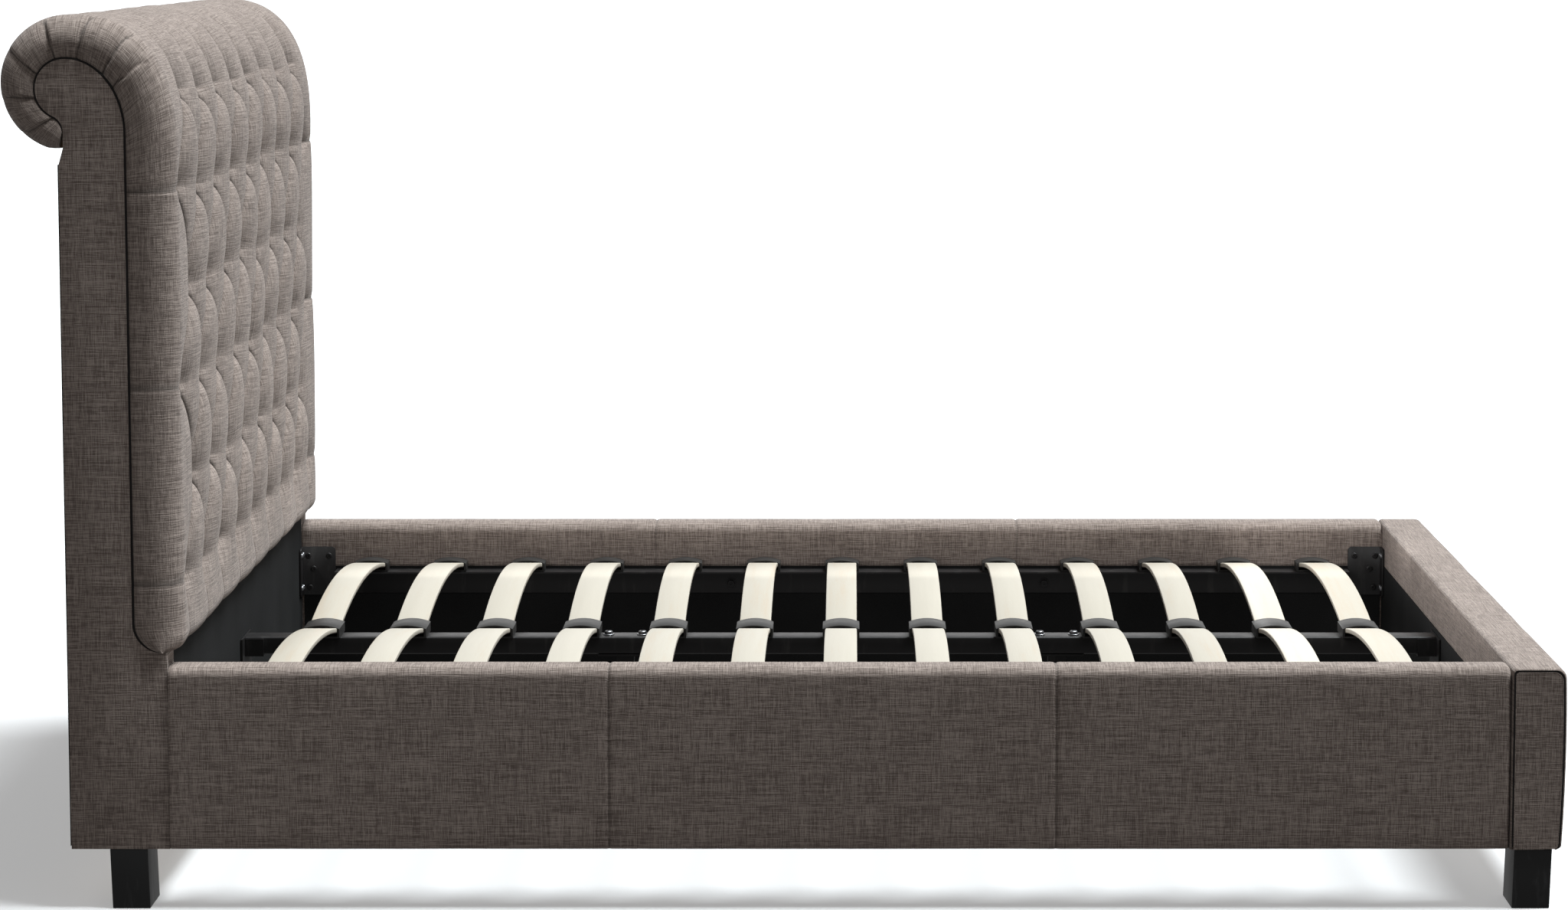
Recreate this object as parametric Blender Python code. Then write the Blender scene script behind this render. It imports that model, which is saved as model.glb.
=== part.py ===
"""Sleigh bed: scrolled and deep-buttoned headboard, low footboard, upholstered side rails, and sprung slats
on a steel centre rail. Metres, +X from the headboard to the foot, +Z up, the floor at zero."""

import math

import bmesh
import bpy
from mathutils import Matrix

# Overall sizes
BED_WIDTH = 1.670
INNER_LENGTH = 2.056  # between the headboard's base and the footboard
BASE_DEPTH = 0.152  # headboard base, back to front
SCROLL_OVERHANG = 0.087  # how far the roll hangs behind the back
FOOT_DEPTH = 0.085
HEAD_HEIGHT = 1.364
LEG_HEIGHT = 0.093
RAIL_HEIGHT = 0.283
RAIL_DEPTH = 0.070
FOOT_HEIGHT = 0.281  # footboard, without its legs

# Clearances
TOUCH = 0.0003  # between pieces that rest on or butt against each other
SEAM_GAP = 0.0005  # between upholstered pieces that are sewn or stapled together

# Headboard
PAD_THICKNESS = 0.072
PAD_OVERHANG = 0.020  # how far the pad stands in front of the base
PAD_BOTTOM = LEG_HEIGHT + 0.305
SEAM_CORNER = 0.045  # inner corner of the end panel, where the pad's foot is let in
PAD_CORNER = min(0.024, 0.9 * (PAD_THICKNESS - SEAM_CORNER))
ROLL_RADIUS = 0.099
CREST_DROP = 0.234  # from the top of the roll down to where the front turns straight
CREST_POWER = 2.6  # 2 is an ellipse, more is squarer
ROLL_PADDING = 0.053  # between the flat eye of the scroll and the roll's outside
CORE_DROP = 0.0075  # the eye's centre below the roll's
CORE_CREST_DROP = 0.1135
NECK_FILLET = 0.025
NECK_INSET = 0.007  # the neck under the eye, in front of the back
BACK_DROP = 0.0235  # from where the roll's cover ends down to the top of the flat back
END_PANEL_THICKNESS = 0.018
END_PANEL_INSET = 0.006  # the pad's side bulges past the flat end panel by this much
BOARD_THICKNESS = 0.012
POST_WIDTH = 0.060
TIMBER = 0.045
TOP_RAIL_HEIGHT = 0.090
FORMER_HEIGHT = 0.212  # scroll former, from its foot to the top of the eye's outline
PLINTH_THICKNESS = 0.022
CLOTH = 0.0012

# Side rails and footboard
RAIL_ROUND = 0.022
RAIL_BOARD = 0.022
RAIL_INNER_SKIN = 0.004  # upholstery between the timber and the rail's inner face
RAIL_TOP_PAD = 0.028
HEM = 0.005  # upholstery turned under a timber edge
FOOT_ROUND = 0.020
FOOT_CORE = 0.045
FOOT_INNER_PAD = 0.015
FOOT_TOP_PAD = 0.028
FOOT_END_PAD = 0.030
LINING_TOP = LEG_HEIGHT + 0.204  # black lining below this height on the inner faces

# Legs
LEG_WIDTH = 0.058
LEG_DEPTH = 0.090
LEG_LEAN = 0.003
LEG_SIDE_INSET = 0.006
HEAD_LEG_BACK_INSET = 0.059
FOOT_LEG_INSET = 0.008

# Slats and what carries them
SLAT_PAIRS = 13
SLAT_END_GAP = 0.136  # from the headboard's base to the middle of the first slat
SLAT_WIDTH = 0.054
SLAT_THICKNESS = 0.008
SLAT_RISE = 0.029
SLAT_STEPS = 12
SUPPORT_TOP = LEG_HEIGHT + 0.195  # tops of the ledgers and the centre rail
STEEL = 0.003
LEDGER_SHELF = 0.048
LEDGER_FACE = 0.046
HOLDER_BASE = 0.003
HOLDER_WALL = 0.004
HOLDER_LENGTH = 0.038
HOLDER_GRIP = 0.031  # how far a slat goes into its holder
HOLDER_EASE = 0.0005
CENTRE_RAIL_WIDTH = 0.050
CENTRE_RAIL_HEIGHT = 0.030
TUBE_WALL = 0.002
END_CUP_LENGTH = 0.035
END_CUP_PLATE_WIDTH = 0.110
END_CUP_PLATE_HEIGHT = 0.060
CENTRE_LEG_TUBE = 0.030
CENTRE_LEG_PLATE_LENGTH = 0.092
CENTRE_LEG_BAYS = 2.5  # slat spaces from the middle of the bed to each centre leg
CENTRE_FOOT_RADIUS = 0.024
CENTRE_FOOT_TOP_RADIUS = 0.0215
CENTRE_FOOT_HEIGHT = 0.014
BRACKET_LENGTH = 0.064
BRACKET_RETURN = 0.038
BRACKET_HEIGHT = 0.092
BRACKET_TOP = LEG_HEIGHT + 0.237

# Places worked out from the sizes
TOTAL_LENGTH = SCROLL_OVERHANG + BASE_DEPTH + INNER_LENGTH + FOOT_DEPTH
SCROLL_BACK = -TOTAL_LENGTH / 2
BACK_X = SCROLL_BACK + SCROLL_OVERHANG
HEAD_FRONT = BACK_X + BASE_DEPTH
FOOT_INNER = HEAD_FRONT + INNER_LENGTH
FOOT_OUTER = FOOT_INNER + FOOT_DEPTH
HALF_WIDTH = BED_WIDTH / 2
RAIL_FACE = HALF_WIDTH - RAIL_DEPTH  # inner faces of the side rails
PAD_FRONT = HEAD_FRONT + PAD_OVERHANG
SEAM_X = PAD_FRONT - PAD_THICKNESS
ROLL_X = SCROLL_BACK + ROLL_RADIUS
ROLL_Z = HEAD_HEIGHT - ROLL_RADIUS
ROLL_UNDER = math.acos((BACK_X - ROLL_X) / ROLL_RADIUS)  # how far round the roll's cover goes
ROLL_END_Z = ROLL_Z - ROLL_RADIUS * math.sin(ROLL_UNDER)
BACK_TOP = ROLL_END_Z - BACK_DROP
CORE_RADIUS = ROLL_RADIUS - ROLL_PADDING
CORE_Z = ROLL_Z - CORE_DROP
NECK_X = BACK_X + NECK_INSET
PANEL_OUTER = HALF_WIDTH - END_PANEL_INSET
PANEL_INNER = PANEL_OUTER - END_PANEL_THICKNESS
FRAME_HALF = PANEL_INNER - TOUCH  # half width of what stands between the end panels
MIDDLE_X = (HEAD_FRONT + FOOT_INNER) / 2
SLAT_PITCH = (INNER_LENGTH - 2 * SLAT_END_GAP) / (SLAT_PAIRS - 1)
SLAT_BOTTOM = SUPPORT_TOP + HOLDER_BASE + TOUCH

FABRIC = ("taupe_linen", (0.30, 0.26, 0.235), 0.9, 0.0)
TIMBER_FINISH = ("pine_timber", (0.62, 0.47, 0.30), 0.7, 0.0)
BLACK_CLOTH = ("black_cloth", (0.02, 0.02, 0.02), 0.95, 0.0)
BLACK_STEEL = ("black_steel", (0.02, 0.02, 0.022), 0.4, 0.6)
BLACK_LEG = ("black_leg", (0.015, 0.015, 0.015), 0.45, 0.0)
SLAT_FINISH = ("pale_slat", (0.88, 0.84, 0.74), 0.5, 0.0)


def material(finish):
    name, colour, roughness, metallic = finish
    found = bpy.data.materials.get(name)
    if found:
        return found
    made = bpy.data.materials.new(name)
    made.use_nodes = True
    shader = made.node_tree.nodes["Principled BSDF"]
    shader.inputs["Base Color"].default_value = (*colour, 1)
    shader.inputs["Roughness"].default_value = roughness
    shader.inputs["Metallic"].default_value = metallic
    return made


def clear_scene():
    for old in list(bpy.data.objects):
        bpy.data.objects.remove(old)


def new_collection(name):
    made = bpy.data.collections.new(name)
    bpy.context.scene.collection.children.link(made)
    return made


def placed(name, data, finish, home):
    made = bpy.data.objects.new(name, data)
    made.data.materials.append(material(finish))
    home.objects.link(made)
    return made


def box(name, low, high, finish, home):
    """A block between two corners."""
    mesh = bpy.data.meshes.new(name)
    form = bmesh.new()
    bmesh.ops.create_cube(form, size=1)
    size = [b - a for a, b in zip(low, high)]
    bmesh.ops.scale(form, vec=size, verts=form.verts)
    form.to_mesh(mesh)
    form.free()
    made = placed(name, mesh, finish, home)
    made.location = [(a + b) / 2 for a, b in zip(low, high)]
    return made


def across(y):
    """Turns a flat outline upright, its thickness along Y."""
    return Matrix(((1, 0, 0, 0), (0, 0, -1, y), (0, 1, 0, 0), (0, 0, 0, 1)))


def along(x):
    """Turns a flat outline upright, its thickness along X, its first axis along Y."""
    return Matrix(((0, 0, 1, x), (1, 0, 0, 0), (0, 1, 0, 0), (0, 0, 0, 1)))


def upright(z):
    """Leaves a flat outline level, its thickness along Z."""
    return Matrix.Translation((0, 0, z))


def outline(name, loops, thickness, place, finish, home):
    """A flat outline, or one with holes, given a thickness."""
    curve = bpy.data.curves.new(name, "CURVE")
    curve.dimensions = "2D"
    curve.fill_mode = "BOTH"
    curve.extrude = thickness / 2
    for loop in loops:
        spline = curve.splines.new("POLY")
        spline.points.add(len(loop) - 1)
        for point, (a, b) in zip(spline.points, loop):
            point.co = (a, b, 0, 1)
        spline.use_cyclic_u = True
    made = placed(name, curve, finish, home)
    made.matrix_world = place
    return made


def as_mesh(piece):
    """The same piece as a welded mesh, ready for a Boolean."""
    bpy.context.view_layer.update()
    graph = bpy.context.evaluated_depsgraph_get()
    mesh = bpy.data.meshes.new_from_object(piece.evaluated_get(graph))
    form = bmesh.new()
    form.from_mesh(mesh)
    bmesh.ops.remove_doubles(form, verts=form.verts, dist=1e-6)
    form.to_mesh(mesh)
    form.free()
    name, place, home = piece.name, piece.matrix_world.copy(), piece.users_collection[0]
    bpy.data.objects.remove(piece)
    made = bpy.data.objects.new(name, mesh)
    home.objects.link(made)
    made.matrix_world = place
    return made


def combine(piece, operation, helpers, cutters):
    """Adds or cuts away the helpers, which stay as hidden wire shapes."""
    group = bpy.data.collections.new(f"{piece.name}_{operation.lower()}")
    cutters.children.link(group)
    for helper in helpers:
        for home in list(helper.users_collection):
            home.objects.unlink(helper)
        group.objects.link(helper)
        helper.hide_render = True
        helper.display_type = "WIRE"
    change = piece.modifiers.new(operation.title(), "BOOLEAN")
    change.operation = operation
    change.operand_type = "COLLECTION"
    change.collection = group


def arc(centre, radii, start, end, steps, power=2.0):
    """Points on an ellipse, or on a squarer curve where power is over 2, between two angles in degrees."""
    points = []
    for i in range(steps + 1):
        angle = math.radians(start + (end - start) * i / steps)
        c, s = math.cos(angle), math.sin(angle)
        x = math.copysign(abs(c) ** (2 / power), c) * radii[0]
        z = math.copysign(abs(s) ** (2 / power), s) * radii[1]
        points.append((centre[0] + x, centre[1] + z))
    return points


def rounded_top(left, right, bottom, top, radius, steps=6):
    """A block's section with its two upper corners rounded."""
    return (
        [(left, bottom), (right, bottom)]
        + arc((right - radius, top - radius), (radius, radius), 0, 90, steps)
        + arc((left + radius, top - radius), (radius, radius), 90, 180, steps)
    )


def seam_line(inset):
    """The line where pad and end panel meet: from the pad's foot over the crest and round the eye to the
    neck. inset moves it into the end panel."""
    crest_z = CORE_Z + CORE_RADIUS - CORE_CREST_DROP
    fillet_x = NECK_X - NECK_FILLET
    reach = CORE_RADIUS + NECK_FILLET
    fillet_drop = math.sqrt(reach**2 - (ROLL_X - fillet_x) ** 2)
    fillet = (fillet_x, CORE_Z - fillet_drop)
    tangent = math.degrees(math.atan2(fillet_drop, ROLL_X - fillet_x))
    corner = SEAM_CORNER + inset
    core = CORE_RADIUS - inset
    return (
        arc((SEAM_X + SEAM_CORNER, PAD_BOTTOM + SEAM_CORNER), (corner, corner), 270, 180, 6)
        + arc((ROLL_X, crest_z), (SEAM_X - inset - ROLL_X, CORE_CREST_DROP - inset), 0, 90, 8)
        + arc((ROLL_X, CORE_Z), (core, core), 90, 180 + tangent, 12)[1:]
        + arc(fillet, (NECK_FILLET + inset, NECK_FILLET + inset), tangent, 0, 4)[1:]
    )


def pad_section():
    """The pad's section: the front, the crest and the roll down to the back."""
    under = math.degrees(ROLL_UNDER)
    crest = (ROLL_X, HEAD_HEIGHT - CREST_DROP)
    outside = (
        arc((ROLL_X, ROLL_Z), (ROLL_RADIUS, ROLL_RADIUS), 360 - under, 90, 18)
        + arc(crest, (PAD_FRONT - ROLL_X, CREST_DROP), 90, 0, 10, CREST_POWER)[1:]
        + arc((PAD_FRONT - PAD_CORNER, PAD_BOTTOM + PAD_CORNER), (PAD_CORNER, PAD_CORNER), 0, -90, 5)
    )
    return outside + seam_line(0) + [(NECK_X, ROLL_END_Z + NECK_INSET)]


def end_panel_section():
    return seam_line(SEAM_GAP) + [
        (NECK_X + SEAM_GAP, ROLL_END_Z),
        (BACK_X + SEAM_GAP, BACK_TOP),
        (BACK_X + SEAM_GAP, LEG_HEIGHT),
        (HEAD_FRONT - TOUCH, LEG_HEIGHT),
        (HEAD_FRONT - TOUCH, PAD_BOTTOM - SEAM_GAP),
    ]


def both_sides(build):
    """Builds a piece once for each side of the bed. Left is the side at -Y."""
    for side, sign in (("left", -1), ("right", 1)):
        build(side, sign)


def span(sign, near, far):
    """Two distances from the middle plane as low and high Y on the given side."""
    return sorted((sign * near, sign * far))


def headboard(parts):
    outline("headboard_tufted_pad", [pad_section()], BED_WIDTH, across(0), FABRIC, parts)
    former_top = CORE_Z + CORE_RADIUS - SEAM_GAP
    former_foot = former_top - FORMER_HEIGHT
    board_back = SEAM_X - SEAM_GAP - BOARD_THICKNESS
    frame_back = BACK_X + SEAM_GAP
    scroll = [point for point in seam_line(SEAM_GAP) if point[1] > former_foot]
    neck = [(NECK_X + SEAM_GAP, ROLL_END_Z), (frame_back, BACK_TOP), (frame_back, former_foot)]
    former_edge = [(SEAM_X - SEAM_GAP, former_foot)] + scroll + neck
    outline("headboard_scroll_former", [former_edge], 2 * FRAME_HALF, across(0), TIMBER_FINISH, parts)
    box(
        "headboard_front_board",
        (board_back, -FRAME_HALF, PAD_BOTTOM),
        (SEAM_X - SEAM_GAP, FRAME_HALF, former_foot - TOUCH),
        TIMBER_FINISH,
        parts,
    )
    post_inner = FRAME_HALF - POST_WIDTH
    plinth_top = LEG_HEIGHT + PLINTH_THICKNESS
    box(
        "headboard_top_rail",
        (board_back - TOUCH - TIMBER, -post_inner + TOUCH, former_foot - TOUCH - TOP_RAIL_HEIGHT),
        (board_back - TOUCH, post_inner - TOUCH, former_foot - TOUCH),
        TIMBER_FINISH,
        parts,
    )
    box(
        "headboard_plinth",
        (frame_back, -FRAME_HALF, LEG_HEIGHT),
        (HEAD_FRONT - CLOTH - 2 * TOUCH, FRAME_HALF, plinth_top),
        TIMBER_FINISH,
        parts,
    )
    box(
        "headboard_base_board",
        (HEAD_FRONT - CLOTH - 2 * TOUCH - PLINTH_THICKNESS, -FRAME_HALF, plinth_top + TOUCH),
        (HEAD_FRONT - CLOTH - 2 * TOUCH, FRAME_HALF, PAD_BOTTOM - SEAM_GAP),
        TIMBER_FINISH,
        parts,
    )
    box(
        "headboard_base_lining",
        (HEAD_FRONT - CLOTH - TOUCH, -RAIL_FACE + SEAM_GAP, LEG_HEIGHT),
        (HEAD_FRONT - TOUCH, RAIL_FACE - SEAM_GAP, PAD_BOTTOM - SEAM_GAP),
        BLACK_CLOTH,
        parts,
    )
    box(
        "headboard_back_cloth",
        (BACK_X - CLOTH, -PANEL_OUTER, LEG_HEIGHT + HEM),
        (BACK_X, PANEL_OUTER, BACK_TOP),
        BLACK_CLOTH,
        parts,
    )

    def side_pieces(side, sign):
        middle = sign * (PANEL_OUTER + PANEL_INNER) / 2
        outline(
            f"headboard_end_panel_{side}",
            [end_panel_section()],
            END_PANEL_THICKNESS,
            across(middle),
            FABRIC,
            parts,
        )
        low, high = span(sign, post_inner, FRAME_HALF)
        box(
            f"headboard_post_{side}",
            (frame_back, low, plinth_top + TOUCH),
            (board_back - TOUCH, high, former_foot - TOUCH),
            TIMBER_FINISH,
            parts,
        )

    both_sides(side_pieces)


def side_rails(parts):
    length = INNER_LENGTH - 2 * SEAM_GAP
    top = LEG_HEIGHT + RAIL_HEIGHT
    board_low = LEG_HEIGHT + HEM
    board_high = top - RAIL_TOP_PAD
    board_near = RAIL_FACE + RAIL_INNER_SKIN

    def rail(side, sign):
        inner, outer = span(sign, RAIL_FACE, HALF_WIDTH)
        hole_inner, hole_outer = span(sign, board_near, board_near + RAIL_BOARD)
        hole = [
            (hole_inner, board_low),
            (hole_outer, board_low),
            (hole_outer, board_high),
            (hole_inner, board_high),
        ]
        skin = rounded_top(inner, outer, LEG_HEIGHT, top, RAIL_ROUND)
        outline(f"side_rail_cover_{side}", [skin, hole], length, along(MIDDLE_X), FABRIC, parts)
        box(
            f"side_rail_board_{side}",
            (MIDDLE_X - length / 2, hole_inner + TOUCH, board_low + TOUCH),
            (MIDDLE_X + length / 2, hole_outer - TOUCH, board_high - TOUCH),
            TIMBER_FINISH,
            parts,
        )

    both_sides(rail)


def footboard(parts, cutters):
    top = LEG_HEIGHT + FOOT_HEIGHT
    core_left = FOOT_INNER + FOOT_INNER_PAD
    core_half = HALF_WIDTH - FOOT_END_PAD
    core_top = top - FOOT_TOP_PAD
    skin = rounded_top(FOOT_INNER, FOOT_OUTER, LEG_HEIGHT, top, FOOT_ROUND)
    cover = as_mesh(outline("footboard_cover", [skin], BED_WIDTH, across(0), FABRIC, parts))
    hollow = box(
        "footboard_hollow",
        (core_left, -core_half, 0),
        (core_left + FOOT_CORE, core_half, core_top),
        FABRIC,
        parts,
    )
    combine(cover, "DIFFERENCE", [hollow], cutters)
    box(
        "footboard_core",
        (core_left + TOUCH, -core_half + TOUCH, LEG_HEIGHT),
        (core_left + FOOT_CORE - TOUCH, core_half - TOUCH, core_top - TOUCH),
        TIMBER_FINISH,
        parts,
    )
    box(
        "footboard_lining",
        (FOOT_INNER - CLOTH - TOUCH, -RAIL_FACE + SEAM_GAP, LEG_HEIGHT + HEM),
        (FOOT_INNER - TOUCH, RAIL_FACE - SEAM_GAP, LINING_TOP),
        BLACK_CLOTH,
        parts,
    )


def legs(parts):
    head_x = BACK_X + HEAD_LEG_BACK_INSET
    foot_x = FOOT_INNER + FOOT_LEG_INSET

    def pair(side, sign):
        low, high = span(sign, HALF_WIDTH - LEG_SIDE_INSET - LEG_DEPTH, HALF_WIDTH - LEG_SIDE_INSET)
        for end, x, lean in (("head", head_x, LEG_LEAN), ("foot", foot_x, -LEG_LEAN)):
            leg = box(
                f"leg_{end}_{side}",
                (x, low, 0),
                (x + LEG_WIDTH, high, LEG_HEIGHT - TOUCH),
                BLACK_LEG,
                parts,
            )
            for vertex in leg.data.vertices:
                if vertex.co.z < 0:
                    vertex.co.x += lean

    both_sides(pair)


def slat_places():
    return [HEAD_FRONT + SLAT_END_GAP + SLAT_PITCH * i for i in range(SLAT_PAIRS)]


def slat_inner_end():
    return HOLDER_WALL / 2 + TOUCH


def slat_outer_end():
    return RAIL_FACE - STEEL - TOUCH - HOLDER_WALL - TOUCH


def slat_section(sign):
    """A bowed strip from the middle of the bed to one side, seen along X."""
    near, far = slat_inner_end(), slat_outer_end()
    half = (far - near) / 2
    radius = (half**2 + SLAT_RISE**2) / (2 * SLAT_RISE)
    swing = math.degrees(math.asin(half / radius))
    under = radius - SLAT_THICKNESS
    centre = (sign * (near + far) / 2, SLAT_BOTTOM - under * math.cos(math.radians(swing)))
    top = arc(centre, (radius, radius), 90 + swing, 90 - swing, SLAT_STEPS)
    bottom = arc(centre, (under, under), 90 - swing, 90 + swing, SLAT_STEPS)
    return top + bottom


def slats(parts):
    def row(side, sign):
        for number, x in enumerate(slat_places(), 1):
            outline(
                f"slat_{number:02d}_{side}",
                [slat_section(sign)],
                SLAT_WIDTH,
                along(x),
                SLAT_FINISH,
                parts,
            )

    both_sides(row)


def pocket_top():
    """Room for a slat's slope along its grip."""
    half = (slat_outer_end() - slat_inner_end()) / 2
    slope = 2 * SLAT_RISE / half
    return SLAT_BOTTOM + SLAT_THICKNESS + slope * HOLDER_GRIP + 2 * HOLDER_EASE


def holder_blocks(low_y, high_y, parts):
    half = SLAT_WIDTH / 2 + HOLDER_EASE + HOLDER_WALL
    top = pocket_top() + HOLDER_BASE
    floor = SUPPORT_TOP - STEEL / 2
    return [
        box("holder", (x - half, low_y, floor), (x + half, high_y, top), BLACK_STEEL, parts)
        for x in slat_places()
    ]


def holder_pockets(low_y, high_y, parts):
    half = SLAT_WIDTH / 2 + HOLDER_EASE
    floor = SUPPORT_TOP + HOLDER_BASE
    return [
        box("pocket", (x - half, low_y, floor), (x + half, high_y, pocket_top()), BLACK_STEEL, parts)
        for x in slat_places()
    ]


def ledgers(parts, cutters):
    """Steel angles on the side rails, with the outer slat holders on their shelves."""
    length = INNER_LENGTH - 2 * (BRACKET_LENGTH + STEEL)
    low_x, high_x = MIDDLE_X - length / 2, MIDDLE_X + length / 2
    face = RAIL_FACE - TOUCH

    def ledger(side, sign):
        low, high = span(sign, face - LEDGER_SHELF, face)
        shelf = box(
            f"side_ledger_{side}",
            (low_x, low, SUPPORT_TOP - STEEL),
            (high_x, high, SUPPORT_TOP),
            BLACK_STEEL,
            parts,
        )
        low, high = span(sign, face - STEEL, face)
        plate = box(
            "ledger_face",
            (low_x, low, SUPPORT_TOP - LEDGER_FACE),
            (high_x, high, SUPPORT_TOP - STEEL / 2),
            BLACK_STEEL,
            parts,
        )
        outer = slat_outer_end() + TOUCH
        blocks = holder_blocks(*span(sign, outer - HOLDER_LENGTH, outer + HOLDER_WALL), parts)
        combine(shelf, "UNION", [plate] + blocks, cutters)
        pockets = holder_pockets(*span(sign, outer - 2 * HOLDER_LENGTH, outer), parts)
        combine(shelf, "DIFFERENCE", pockets, cutters)

    both_sides(ledger)


def centre_support(parts, cutters):
    """The steel centre rail with the double slat holders, its end cups and its two legs."""
    half = CENTRE_RAIL_WIDTH / 2
    low_z = SUPPORT_TOP - CENTRE_RAIL_HEIGHT
    low_x = HEAD_FRONT + STEEL + 2 * TOUCH
    high_x = FOOT_INNER - CLOTH - STEEL - 3 * TOUCH
    rail = box("centre_rail", (low_x, -half, low_z), (high_x, half, SUPPORT_TOP), BLACK_STEEL, parts)
    reach = slat_inner_end() - TOUCH + HOLDER_LENGTH
    combine(rail, "UNION", holder_blocks(-reach, reach, parts), cutters)
    tube = box(
        "rail_bore",
        (low_x - half, -half + TUBE_WALL, low_z + TUBE_WALL),
        (high_x + half, half - TUBE_WALL, SUPPORT_TOP - TUBE_WALL),
        BLACK_STEEL,
        parts,
    )
    pockets = []
    for sign in (-1, 1):
        pockets += holder_pockets(*span(sign, slat_inner_end() - TOUCH, 2 * reach), parts)
    combine(rail, "DIFFERENCE", [tube] + pockets, cutters)
    for end, face, out in (("head", HEAD_FRONT, 1), ("foot", FOOT_INNER - CLOTH - TOUCH, -1)):
        end_cup(end, face + out * TOUCH, out, parts, cutters)
    for end, out in (("head", -1), ("foot", 1)):
        centre_leg(end, MIDDLE_X + out * CENTRE_LEG_BAYS * SLAT_PITCH, parts, cutters)


def end_cup(end, face, out, parts, cutters):
    """A plate on the headboard or the footboard, with a floor and two cheeks that hold the rail's end."""
    half = CENTRE_RAIL_WIDTH / 2 + TOUCH
    floor = SUPPORT_TOP - CENTRE_RAIL_HEIGHT - TOUCH

    def part(name, reach_from, reach_to, low_y, high_y, low_z, high_z):
        low_x, high_x = sorted((face + out * reach_from, face + out * reach_to))
        return box(name, (low_x, low_y, low_z), (high_x, high_y, high_z), BLACK_STEEL, parts)

    plate = part(
        f"centre_rail_cup_{end}",
        0,
        STEEL,
        -END_CUP_PLATE_WIDTH / 2,
        END_CUP_PLATE_WIDTH / 2,
        SUPPORT_TOP - END_CUP_PLATE_HEIGHT,
        SUPPORT_TOP,
    )
    cheek = half + STEEL
    cradle = part("cup", STEEL / 2, END_CUP_LENGTH, -cheek, cheek, floor - STEEL, SUPPORT_TOP - STEEL)
    space = part("space", STEEL, END_CUP_LENGTH + STEEL, -half, half, floor, SUPPORT_TOP + STEEL)
    combine(plate, "UNION", [cradle], cutters)
    combine(plate, "DIFFERENCE", [space], cutters)


def centre_leg(end, x, parts, cutters):
    top = SUPPORT_TOP - CENTRE_RAIL_HEIGHT - TOUCH
    half = CENTRE_RAIL_WIDTH / 2
    plate = box(
        f"centre_leg_{end}",
        (x - CENTRE_LEG_PLATE_LENGTH / 2, -half, top - STEEL),
        (x + CENTRE_LEG_PLATE_LENGTH / 2, half, top),
        BLACK_STEEL,
        parts,
    )
    tube = box(
        "leg_tube",
        (x - CENTRE_LEG_TUBE / 2, -CENTRE_LEG_TUBE / 2, CENTRE_FOOT_HEIGHT / 2),
        (x + CENTRE_LEG_TUBE / 2, CENTRE_LEG_TUBE / 2, top - STEEL / 2),
        BLACK_STEEL,
        parts,
    )
    foot_mesh = bpy.data.meshes.new("leg_foot")
    form = bmesh.new()
    bmesh.ops.create_cone(
        form,
        cap_ends=True,
        segments=24,
        radius1=CENTRE_FOOT_RADIUS,
        radius2=CENTRE_FOOT_TOP_RADIUS,
        depth=CENTRE_FOOT_HEIGHT,
    )
    form.to_mesh(foot_mesh)
    form.free()
    foot = placed("leg_foot", foot_mesh, BLACK_STEEL, parts)
    foot.location = (x, 0, CENTRE_FOOT_HEIGHT / 2)
    combine(plate, "UNION", [tube, foot], cutters)


def corner_brackets(parts):
    """Steel angles that hook the side rails to the headboard and the footboard."""
    face = RAIL_FACE - TOUCH

    def pair(side, sign):
        for end, start, out in (
            ("head", HEAD_FRONT + TOUCH, 1),
            ("foot", FOOT_INNER - CLOTH - 2 * TOUCH, -1),
        ):
            angle = [
                (start, sign * face),
                (start + out * BRACKET_LENGTH, sign * face),
                (start + out * BRACKET_LENGTH, sign * (face - STEEL)),
                (start + out * STEEL, sign * (face - STEEL)),
                (start + out * STEEL, sign * (face - BRACKET_RETURN)),
                (start, sign * (face - BRACKET_RETURN)),
            ]
            outline(
                f"corner_bracket_{end}_{side}",
                [angle],
                BRACKET_HEIGHT,
                upright(BRACKET_TOP - BRACKET_HEIGHT / 2),
                BLACK_STEEL,
                parts,
            )

    both_sides(pair)


def main():
    clear_scene()
    parts = new_collection("sleigh_bed")
    cutters = new_collection("cutters")
    headboard(parts)
    side_rails(parts)
    footboard(parts, cutters)
    legs(parts)
    slats(parts)
    ledgers(parts, cutters)
    centre_support(parts, cutters)
    corner_brackets(parts)


main()
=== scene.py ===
"""Sleigh bed: the upholstery, slats and fittings that show, modelled round the packed frame.

Metres, +X from the headboard to the foot, +Y to the right-hand rail, +Z up. Every place comes from the
frame's nodes, and the sizes that a maker would change are in the property groups.
"""

import math

import bmesh
import bpy
import numpy as np
from bpy.props import FloatProperty, FloatVectorProperty, IntProperty, PointerProperty
from mathutils import Matrix, Vector


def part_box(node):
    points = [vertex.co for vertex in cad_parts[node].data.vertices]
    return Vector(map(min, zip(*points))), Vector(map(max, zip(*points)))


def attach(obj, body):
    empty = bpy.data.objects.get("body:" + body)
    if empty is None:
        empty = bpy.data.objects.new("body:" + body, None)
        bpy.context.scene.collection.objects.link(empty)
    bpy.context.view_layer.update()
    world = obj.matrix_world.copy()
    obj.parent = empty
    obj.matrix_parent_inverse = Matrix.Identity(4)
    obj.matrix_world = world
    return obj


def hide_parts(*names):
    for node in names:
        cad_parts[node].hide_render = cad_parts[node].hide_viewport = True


bl_info = {
    "name": "Sleigh bed",
    "version": (1, 0, 0),
    "blender": (4, 5, 0),
    "location": "3D View > Sidebar > Sleigh bed",
    "description": "Buttoned headboard, padded rails, sprung slats and fittings of a sleigh bed",
    "category": "Add Mesh",
}

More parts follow.
